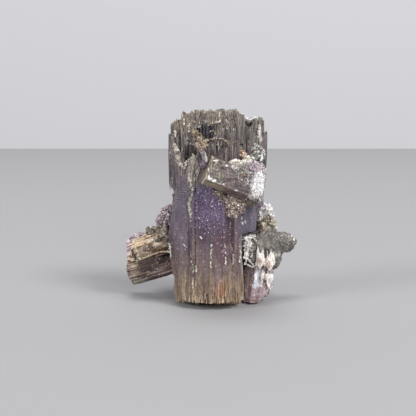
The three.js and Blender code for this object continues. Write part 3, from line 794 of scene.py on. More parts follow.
def grainMaterial(name, look, habits):  # finish of many small crystals
    material, tree, shader = newMaterial(name)
    place = placeMm(tree)
    tone = attribute(tree, "tone")
    tint = ramp(tree, tone, look["tones"])
    if "body" in look:  # how much of the column's own colour it keeps
        tint = mixColour(tree, look["body"], tint, useGroup(tree, columnTintGroup, Vector=place)[0])
    cloud = noiseAt(tree, place, habits["cloudSize"], 3.0)
    tint = shaded(tree, tint, spread(tree, cloud, 0.25, 0.75), *habits["cloudShade"])
    # painted highlight: the tips of the needles and small crystals are made paler
    tip = spread(tree, attribute(tree, "tip"), 1.0 - look["tipShare"], 1.0)
    tint = mixColour(tree, times(tree, tip, look["tipStrength"]), tint, colour(*look["tipHighlight"]))
    tint = patched(tree, tint, place, look.get("patches", ()), 0.5, 0.9)
    finished(tree, shader, tint, spread(tree, noiseAt(tree, place, 0.9), 0.3, 0.7, *look["roughness"]))
    sugar = useGroup(tree, sugarGroup, Vector=place, Size=habits["facetSize"], Share=habits["facetShare"])
    bumped(tree, shader, sugar["Facet"], habits["relief"])
    return material


grainLooks = {
    "oliveNeedle": {
        "tones": [
            (0.0, (40, 34, 38)), (0.35, (85, 77, 79)), (0.7, (126, 117, 114)), (0.9, (154, 144, 135)),
            (1.0, (208, 199, 186)),
        ],
        "body": 0.35, "tipShare": 0.08, "tipStrength": 0.2, "tipHighlight": (196, 186, 170),
        "roughness": (0.1, 0.4),
        "patches": [
            # painted shade: the first two patches darken the needles in the recess and in the hollow beside
            # the bundle
            ((-0.9, -5.0, 40.0), (1.7, 3.0, 2.5), 0.75, (78, 75, 85)),
            ((-5.6, -5.0, 35.6), (0.8, 2.0, 2.0), 0.7, (62, 54, 56)),
            # paler tan along the skyline, partly the needles' own colour and partly painted highlight
            ((-1.0, -3.0, 44.6), (8.0, 4.0, 1.2), 0.25, (176, 164, 146)),
            ((-6.6, -3.0, 42.0), (3.0, 4.0, 2.4), 0.35, (178, 164, 142)),
        ],
    },
    "tanNeedle": {
        "tones": [
            (0.0, (78, 62, 52)), (0.35, (122, 103, 88)), (0.75, (162, 144, 124)), (1.0, (236, 224, 204))
        ],
        "body": 0.5, "tipShare": 0.1, "tipStrength": 0.2, "tipHighlight": (214, 200, 172),
        "roughness": (0.15, 0.4),
        "patches": [
            ((2.4, -7.6, 5.4), (1.5, 2.0, 3.0), 0.4, (176, 116, 72)),
            ((-0.6, -7.4, 0.6), (10.0, 8.0, 0.7), 0.5, (214, 200, 170)),
        ],
    },
    "violetGrain": {
        "tones": [
            (0.0, (64, 48, 80)), (0.5, (110, 92, 124)), (0.85, (160, 142, 166)), (1.0, (232, 222, 232))
        ],
        "body": 0.45, "tipShare": 0.3, "tipStrength": 0.2, "tipHighlight": (196, 184, 198),
        "roughness": (0.06, 0.22),
    },
    "goldEdge": {
        "tones": [(0.0, (190, 160, 120)), (0.4, (232, 210, 174)), (1.0, (255, 248, 230))],
        "tipShare": 0.4, "tipStrength": 0.3, "tipHighlight": (252, 244, 226), "roughness": (0.1, 0.3),
    },
    # painted shade: the finish of the dark crust in the parting
    "partingShadeGrain": {
        "tones": [(0.0, (34, 24, 20)), (0.6, (60, 45, 38)), (1.0, (112, 92, 78))],
        "tipShare": 0.4, "tipStrength": 0.1, "tipHighlight": (120, 100, 84), "roughness": (0.3, 0.6),
    },
    "marlGrain": {
        "tones": [(0.0, (100, 93, 86)), (0.5, (140, 132, 124)), (1.0, (196, 188, 178))],
        "tipShare": 0.4, "tipStrength": 0.2, "tipHighlight": (190, 182, 172), "roughness": (0.4, 0.7),
    },
    "oliveRockGrain": {
        "tones": [(0.0, (104, 94, 76)), (0.5, (152, 141, 118)), (1.0, (206, 196, 176))],
        "tipShare": 0.4, "tipStrength": 0.2, "tipHighlight": (216, 206, 188), "roughness": (0.25, 0.5),
    },
    "flankGrain": {
        "tones": [
            (0.0, (112, 88, 90)), (0.5, (156, 134, 136)), (0.8, (206, 194, 192)), (1.0, (250, 246, 244))
        ],
        "tipShare": 0.4, "tipStrength": 0.3, "tipHighlight": (240, 234, 232), "roughness": (0.1, 0.35),
    },
    "columnGrain": {
        "tones": [(0.0, (80, 68, 74)), (0.5, (100, 86, 94)), (1.0, (140, 126, 128))],
        "body": 0.9, "tipShare": 0.3, "tipStrength": 0.1, "tipHighlight": (196, 184, 186),
        "roughness": (0.12, 0.4),
    },
    "paleCrust": {
        "tones": [
            (0.0, (140, 128, 116)), (0.4, (194, 184, 168)), (0.8, (226, 218, 204)), (1.0, (250, 247, 240))
        ],
        "tipShare": 0.4, "tipStrength": 0.4, "tipHighlight": (246, 242, 236), "roughness": (0.25, 0.5),
    },
    "tanGrain": {
        "tones": [
            (0.0, (80, 68, 58)), (0.3, (126, 110, 94)), (0.65, (158, 143, 124)), (1.0, (220, 208, 190))
        ],
        "tipShare": 0.4, "tipStrength": 0.3, "tipHighlight": (226, 212, 190), "roughness": (0.22, 0.5),
    },
    "bundleNeedle": {
        "tones": [
            (0.0, (58, 50, 50)), (0.35, (122, 114, 107)), (0.7, (180, 171, 158)), (1.0, (236, 228, 214))
        ],
        "body": 0.22, "tipShare": 0.5, "tipStrength": 0.2, "tipHighlight": (216, 206, 194),
        "roughness": (0.12, 0.35),
    },
    "spikyBrown": {
        "tones": [
            (0.0, (70, 57, 47)), (0.4, (136, 118, 99)), (0.8, (184, 167, 144)), (1.0, (236, 222, 200))
        ],
        "tipShare": 0.5, "tipStrength": 0.3, "tipHighlight": (224, 208, 182), "roughness": (0.15, 0.4),
    },
    "beardGrain": {
        "tones": [
            (0.0, (74, 60, 54)), (0.35, (126, 108, 96)), (0.75, (172, 154, 138)), (1.0, (246, 238, 226))
        ],
        "body": 0.1, "tipShare": 0.4, "tipStrength": 0.2, "tipHighlight": (232, 220, 206),
        "roughness": (0.12, 0.35),
        "patches": [
            ((9.0, -4.0, 24.2), (2.4, 3.0, 1.6), 0.5, (106, 90, 70)),
            ((2.6, -7.4, 26.4), (1.6, 2.0, 0.8), 0.6, (112, 92, 78)),
        ],
    },
    "knobDruse": {
        "tones": [
            (0.0, (98, 90, 88)), (0.35, (136, 127, 127)), (0.75, (164, 156, 157)), (1.0, (226, 221, 220))
        ],
        "tipShare": 0.4, "tipStrength": 0.25, "tipHighlight": (222, 214, 216), "roughness": (0.08, 0.3),
        "patches": [  # centre, reach, share, colour
            ((9.6, -7.0, 33.0), (2.2, 3.0, 1.8), 0.5, (186, 166, 178)),
            ((7.0, -8.0, 31.6), (1.5, 2.0, 2.0), 0.4, (150, 148, 134)),
            ((6.7, -8.6, 30.9), (0.35, 1.0, 0.3), 0.8, (196, 142, 92)),
            # painted highlight: the next two white patches stand for the glossy lower right catching the
            # light
            ((10.2, -6.6, 28.8), (2.0, 3.0, 3.4), 0.95, (250, 248, 248)),
            ((9.0, -6.0, 26.4), (2.6, 3.0, 1.1), 0.8, (240, 234, 230)),
        ],
    },
    "lilacDruse": {
        "tones": [
            (0.0, (160, 152, 150)), (0.45, (208, 202, 200)), (0.8, (236, 232, 230)), (1.0, (252, 250, 250))
        ],
        "tipShare": 0.4, "tipStrength": 0.4, "tipHighlight": (246, 242, 244), "roughness": (0.1, 0.3),
    },
    "greyDruse": {
        "tones": [
            (0.0, (50, 48, 46)), (0.35, (104, 100, 96)), (0.6, (166, 162, 154)), (1.0, (248, 246, 240))
        ],
        "tipShare": 0.3, "tipStrength": 0.4, "tipHighlight": (244, 242, 236), "roughness": (0.12, 0.4),
    },
    "mauveDruse": {
        "tones": [
            (0.0, (104, 86, 94)), (0.45, (146, 127, 135)), (0.85, (184, 166, 172)), (1.0, (242, 234, 237))
        ],
        "tipShare": 0.4, "tipStrength": 0.3, "tipHighlight": (232, 220, 226), "roughness": (0.12, 0.3),
    },
    "oliveDruse": {
        "tones": [
            (0.0, (74, 62, 56)), (0.5, (104, 93, 82)), (0.85, (138, 127, 111)), (1.0, (206, 194, 172))
        ],
        "tipShare": 0.4, "tipStrength": 0.15, "tipHighlight": (196, 186, 166), "roughness": (0.12, 0.35),
    },
    "goldStain": {
        "tones": [(0.0, (92, 60, 50)), (0.5, (156, 112, 92)), (1.0, (228, 202, 178))],
        "tipShare": 0.4, "tipStrength": 0.3, "tipHighlight": (236, 216, 190), "roughness": (0.15, 0.4),
    },
    "whiteFlake": {
        "tones": [(0.0, (206, 196, 186)), (0.4, (240, 236, 230)), (1.0, (255, 254, 252))],
        "tipShare": 0.4, "tipStrength": 0.4, "tipHighlight": (252, 250, 248), "roughness": (0.2, 0.4),
    },
}
grains = {name: grainMaterial(name, look, grainHabits) for name, look in grainLooks.items()}

columnMesh = nodeMesh("main_crystal")
columnShape = remeshed(columnMesh.copy(), columnLook["voxel"])
column = skinned("columnBody", columnShape.copy(), columnMaterial(columnLook), columnLook["skin"])
finishPiece(column, "violet_aragonite", "main_crystal")

needleHabit = {
    "Ragged": 0.5, "Clumping": 0.36, "Clump Size": 1.2, "Sink": 0.965, "Set Back": 0.35, "Taper": 0.8,
    "Foot Taper": 0.3, "Slant": 0.2, "Lean": 0.02, "Follow Surface": 0.015, "Ceiling": 45.1,
}


def topField(seed, density, centre, reach, widths, lengths, **others):
    return {
        **needleHabit, "Seed": seed, "Density": density, "Centre": centre, "Reach": reach,
        "Width Low": widths[0], "Width High": widths[1], "Length Low": lengths[0],
        "Length High": lengths[1], **others,
    }


footHabit = {
    **needleHabit, "Density": 3.4, "Ragged": 1.1, "Clumping": 0.52, "Width Low": 0.15, "Width High": 0.4,
    "Length Low": 1.2, "Length High": 5.5, "Sink": 0.5, "Taper": 0.3, "Foot Taper": 1.0, "Set Back": 0.4,
    "Follow Surface": -0.01,
}
grainHabit = {
    "Width High": 0.4, "Sink": 0.6, "Set Back": 0.0, "Follow Surface": 1.0, "Lean": 0.6, "Taper": 0.75,
}

# needles and grains on the column: their finish and the values of each field of them
columnGrowth = {
    "upperNeedles": {
        "finish": "oliveNeedle", "slot": "violet_aragonite",
        "fields": [
            topField(4, 7.0, (-6.6, -1.0, 38.6), (6.0, 6.0, 5.6), (0.12, 0.32), (4.0, 8.0)),
            topField(5, 7.0, (6.4, -1.0, 39.0), (7.4, 7.0, 6.6), (0.12, 0.32), (4.0, 9.0)),
            topField(6, 7.0, (0.0, 0.0, 43.2), (14.0, 6.0, 3.6), (0.12, 0.34), (4.0, 7.0)),
            topField(7, 2.4, (0.0, 6.6, 36.0), (14.0, 5.6, 11.0), (0.25, 0.6), (4.0, 11.0)),
            topField(9, 0.35, (3.0, 1.0, 39.0), (12.0, 10.0, 6.5), (0.4, 0.8), (4.0, 7.0)),
            topField(14, 6.0, (2.2, -1.6, 44.2), (5.0, 3.0, 1.4), (0.2, 0.5), (4.0, 16.0)),
            topField(  # on the level tops
                15, 5.0, (-0.5, -3.4, 44.0), (10.0, 4.0, 2.4), (0.16, 0.42), (2.0, 4.0),
                Sink=0.88, Steepest=anySide,
            ),
            topField(
                16, 7.0, (-3.0, -1.6, 43.7), (3.9, 4.5, 1.5), (0.16, 0.42), (3.0, 4.6),
                Sink=0.79, Steepest=anySide,
            ),
        ],
    },
    "footNeedles": {
        "finish": "tanNeedle", "slot": "violet_aragonite",
        "fields": [
            {**footHabit, "Seed": 8, "Centre": (-0.5, -6.0, 2.0), "Reach": (12.0, 7.4, 6.0), "Floor": 1.7},
            {**footHabit, "Seed": 10, "Centre": (-0.5, 7.0, 0.0), "Reach": (12.0, 6.0, 7.0), "Floor": 0.3},
        ],
    },
    "violetGrains": {
        "finish": "violetGrain", "slot": "violet_aragonite",
        "fields": [
            {
                **grainHabit, "Density": 9.0, "Seed": 12, "Centre": (0.6, -7.6, 23.5),
                "Reach": (5.4, 4.0, 6.5),
                "Ragged": 0.5, "Clumping": 0.42, "Clump Size": 1.1, "Width Low": 0.14, "Length Low": 0.15,
                "Length High": 0.42,
            },
            {
                **grainHabit, "Density": 1.2, "Seed": 13, "Centre": (2.0, -7.6, 14.0),
                "Reach": (5.2, 4.0, 6.0),
                "Ragged": 0.9, "Clumping": 0.52, "Clump Size": 1.4, "Width Low": 0.15, "Length Low": 0.2,
                "Length High": 0.4,
            },
        ],
    },
}


def makeGrowth(name, look):
    grain = grains[look["finish"]]
    parts = [scattered(name, columnShape, grain, values) for values in look["fields"]]
    finishPiece(joined(name, parts, grain), look["slot"])


for name, look in columnGrowth.items():
    makeGrowth(name, look)


# needles that lean together on the column's left front

bundleLook = {
    "apex": (-3.8, -6.9, 35.6), "base": ((-6.0, 32.4), (-2.6, 32.0)), "foot": 26.6,  # mm
    "count": 190, "widths": (0.12, 0.34), "seed": 52,
}


def makeBundle(look):
    dice = random.Random(look["seed"])
    needles = []
    for _ in range(look["count"]):
        side = dice.uniform(-1, 1)
        low = Vector(look["base"][0]).lerp(Vector(look["base"][1]), 0.5 + side / 2)
        deep = dice.random() ** 1.5 * (1.3 - abs(side)) * (low.y - look["foot"])
        foot = onFront(low.x * 0.75 - 1.1, low.y - deep)
        drop = abs(side) * 1.9 + dice.uniform(0, 1.6)
        fanned = Vector((side * (0.3 + 0.35 * drop), dice.uniform(-0.3, 0.3) - 0.1 * drop, -drop))
        tip = Vector(look["apex"]) + fanned
        needles.append((foot, tuple(tip), dice.uniform(*look["widths"]), dice.random()))
    mesh = needlesMesh("needleBundle", needles)
    mesh.materials.append(grains["bundleNeedle"])
    finishPiece(linked("needleBundle", mesh), "violet_aragonite")


makeBundle(bundleLook)
print("column grown")


# the crystal across the front

crossLook = {
    "root": (8.2, -5.35, 27.8), "tip": (-1.3, -8.4, 31.9), "facing": (0, -1, 0.3),
    "section": [(2.6, -2.2), (2.5, 2.9), (0.4, 3.6), (-3.2, 1.6), (-2.6, -2.4), (1.2, -3.2)],
    "bevel": 0.14, "rim": 0.3,
    "olive": (117, 108, 95), "mauve": (116, 98, 101), "feather": (206, 194, 168), "edge": (226, 214, 196),
    "shadow": (74, 62, 62), "core": (104, 98, 88),
    # painted light: the underside is lighter as if lit from the floor below, and painted shade darkens it
    # near the root
    "underside": (178, 158, 134), "shadedRootUnderside": (96, 76, 72),
    # the feathers' middle in mm along the crystal's own axes, and how their rings are turned and drawn out
    "fanFrom": (2.4, -0.3, 8.6), "fanRows": [(0.3, 0.0, 0.0), (0.0, 0.5, -1.0), (0.0, 0.42, 0.22)],
    "coreReach": (9.0, 0.8, 0.9), "featherSpan": (2.0, 4.5), "featherShare": 0.6,
    "cloudSize": 1.5, "lineWidth": 0.3, "lineStretch": 0.15, "grainSize": 0.5, "grainShare": 0.08,
    "shades": [  # centre and reach in mm of the patches of painted shade on the face
        ((3.6, -9.4, 30.0), (2.2, 4.0, 0.45)), ((2.6, -9.6, 32.4), (0.9, 4.0, 0.5)),
        ((5.4, -8.6, 28.6), (1.2, 4.0, 0.5)),
    ],
    "glintSpots": [  # centre and reach in mm of the painted glints
        ((-0.5, -10.4, 30.7), (0.3, 4.0, 0.5)), ((-0.2, -10.4, 30.4), (0.5, 4.0, 0.25)),
        ((0.6, -10.2, 29.9), (0.6, 4.0, 0.3)), ((1.0, -9.6, 34.2), (0.7, 4.0, 0.2)),
        ((2.7, -9.6, 29.1), (0.25, 4.0, 0.16)), ((5.5, -8.4, 27.6), (0.4, 4.0, 0.16)),
        ((3.4, -9.2, 33.0), (0.3, 4.0, 0.2)), ((-0.6, -10.0, 32.4), (0.12, 4.0, 0.3)),
    ],
    "glintWhite": (248, 246, 244),
    "slant": (0.12, -0.05),  # of its end, across and along the face
    "lineShade": (0.66, 1.32), "grainShade": (0.78, 1.2), "roughness": (0.04, 0.24), "transmission": 0.2,
    "relief": 0.12,
}


def facingTurn(root, tip, facing):  # the crystal's own axes: X out of its face, Z to its tip
    axis = (Vector(tip) - Vector(root)).normalized()
    front = Vector(facing) - axis * Vector(facing).dot(axis)
    front.normalize()
    return Matrix((front, axis.cross(front), axis)).transposed().to_4x4()


def prismMesh(section, length, slant, bevel, rim):  # its rim attribute is 1 along the edges
    work = bmesh.new()
    foot = [work.verts.new((x * mm, y * mm, 0)) for x, y in section]
    ends = [length + x * slant[0] + y * slant[1] for x, y in section]
    top = [work.verts.new((x * mm, y * mm, end * mm)) for (x, y), end in zip(section, ends)]
    count = len(section)
    for i in range(count):
        work.faces.new((foot[i], foot[(i + 1) % count], top[(i + 1) % count], top[i]))
    work.faces.new(top)
    work.faces.new(foot[::-1])
    bmesh.ops.recalc_face_normals(work, faces=work.faces)
    bmesh.ops.bevel(work, geom=work.edges, offset=bevel * mm, segments=2, affect="EDGES", profile=0.6)
    rimLayer = work.verts.layers.float.new("rim")
    edgeVerts = list(work.verts)
    large = [face for face in work.faces if face.calc_area() > (4 * bevel * mm) ** 2]
    bmesh.ops.inset_individual(work, faces=large, thickness=rim * mm)
    for vert in edgeVerts:
        vert[rimLayer] = 1.0
    mesh = bpy.data.meshes.new("prism")
    work.to_mesh(mesh)
    work.free()
    return mesh


def dotsOf(tree, vector, rows):
    return [dotOf(tree, vector, row) for row in rows]


def crossMaterial(look, turn):
    material, tree, shader = newMaterial("glassyCrystal")
    place = placeMm(tree)
    own = vectorCalc(tree, "SUBTRACT", place, look["root"])
    rows = [tuple(turn.transposed()[i][:3]) for i in range(3)]
    parts = dotsOf(tree, own, rows)
    local = vectorOf(tree, *parts)
    length = (Vector(look["tip"]) - Vector(look["root"])).length
    share = plus(tree, parts[2], spread(tree, noiseAt(tree, local, 3.0), 0.0, 1.0, -2.5, 2.5))
    towardsTip = spread(tree, share, length * 0.55, length * 0.95)
    tint = mixColour(tree, towardsTip, colour(*look["mauve"]), colour(*look["olive"]))
    cloud = noiseAt(tree, local, look["cloudSize"], 5.0, 0.62)
    # painted shade: darker clouds across the crystal
    tint = mixColour(tree, times(tree, spread(tree, cloud, 0.47, 0.6), 0.85), tint, colour(*look["shadow"]))
    # feathers: thin curved sheets inside, seen as pale rings around a dark core
    fromCore = vectorCalc(tree, "SUBTRACT", local, look["fanFrom"])
    fan = vectorOf(tree, *dotsOf(tree, fromCore, look["fanRows"]))
    tint = spotted(tree, tint, fan, [((0.0, 0.0, 0.0), look["coreReach"])], 0.9, 0.9, 1.0, look["core"])
    feeds = {"Vector": fan, "Scale": 0.42, "Distortion": 7.0, "Detail": 1.5, "Detail Scale": 0.35}
    arcs = addNode(tree, "ShaderNodeTexWave", feeds)
    arcs.wave_type = "RINGS"
    seen = spread(tree, noiseAt(tree, local, 1.2), 0.4, 0.55)
    near = spread(tree, vectorCalc(tree, "LENGTH", fan), *look["featherSpan"], 1.0, 0.35)
    feather = times(tree, spread(tree, arcs.outputs["Fac"], 0.82, 0.98), seen, near, look["featherShare"])
    tint = mixColour(tree, feather, tint, colour(*look["feather"]))
    # painted light and shade on the underside: lighter towards the tip, darker towards the root
    below = spread(tree, parts[0], 2.1, 2.5, 0.7, 0.0)
    nearTip = spread(tree, share, length * 0.4, length * 0.8)
    under = mixColour(tree, nearTip, colour(*look["shadedRootUnderside"]), colour(*look["underside"]))
    tint = mixColour(tree, below, tint, under)
    tint = spotted(tree, tint, place, look["shades"], 0.9, 0.7, 0.75, look["shadow"])
    striae = useGroup(tree, striaeGroup, Growth=local, Width=look["lineWidth"], Stretch=look["lineStretch"])
    sugar = useGroup(tree, sugarGroup, Vector=place, Size=look["grainSize"], Share=look["grainShare"])
    tint = shaded(tree, tint, striae["Lines"], *look["lineShade"])
    tint = shaded(tree, tint, sugar["Tone"], *look["grainShade"])
    # pale rims along the edges, partly worn edges and partly painted highlight
    wearAndHighlight = spread(tree, striae["Breaks"], 0.3, 0.55, 0.35, 1.0)
    rim = times(tree, spread(tree, attribute(tree, "rim"), 0.3, 0.9), wearAndHighlight)
    tint = mixColour(tree, rim, tint, colour(*look["edge"]))
    # painted glints: small white spots on the face
    tint = spotted(tree, tint, place, look["glintSpots"], 0.6, 0.5, 1.0, look["glintWhite"])
    finished(tree, shader, tint, spread(tree, striae["Breaks"], 0.35, 0.7, *look["roughness"]))
    shader.inputs["Transmission Weight"].default_value = look["transmission"]
    relief = plus(tree, striae["Lines"], times(tree, cloud, 0.8), times(tree, sugar["Facet"], 0.7))
    bumped(tree, shader, relief, look["relief"], 0.6)
    return material


def makeCross(look):
    turn = facingTurn(look["root"], look["tip"], look["facing"])
    length = (Vector(look["tip"]) - Vector(look["root"])).length
    mesh = prismMesh(look["section"], length, look["slant"], look["bevel"], look["rim"])
    mesh.transform(Matrix.Translation(at(*look["root"])) @ turn)
    mesh.materials.append(crossMaterial(look, turn))
    finishPiece(linked("crossCrystal", mesh), "clear_aragonite", "cross_crystal")


makeCross(crossLook)


# lumps of druse and rock: ellipsoids in mm, their skin and the crystals that stand on them

roughSkin = {
    "Rib Width": 1.0, "Rib Depth": 0.22, "Rib Stretch": 1.0, "End Step": 0.22, "Fine Depth": 0.0,
    "Grain Size": 0.45, "Grain Depth": 0.12, "Seed": 5.0,
}
smallCrystals = {
    "Density": 2.6, "Seed": 3, "Clumping": 0.3, "Steepest": anySide, "Follow Surface": 1.0, "Lean": 0.6,
    "Width Low": 0.35, "Width High": 0.95, "Length Low": 0.4, "Length High": 1.1, "Taper": 0.8,
    "Sink": 0.45, "Set Back": 0.0,
}


def standing(seed, density, widths, longest, **others):  # the small crystals on one lump
    return {
        **smallCrystals, "Seed": seed, "Density": density, "Width Low": widths[0], "Width High": widths[1],
        "Length High": longest, **others,
    }


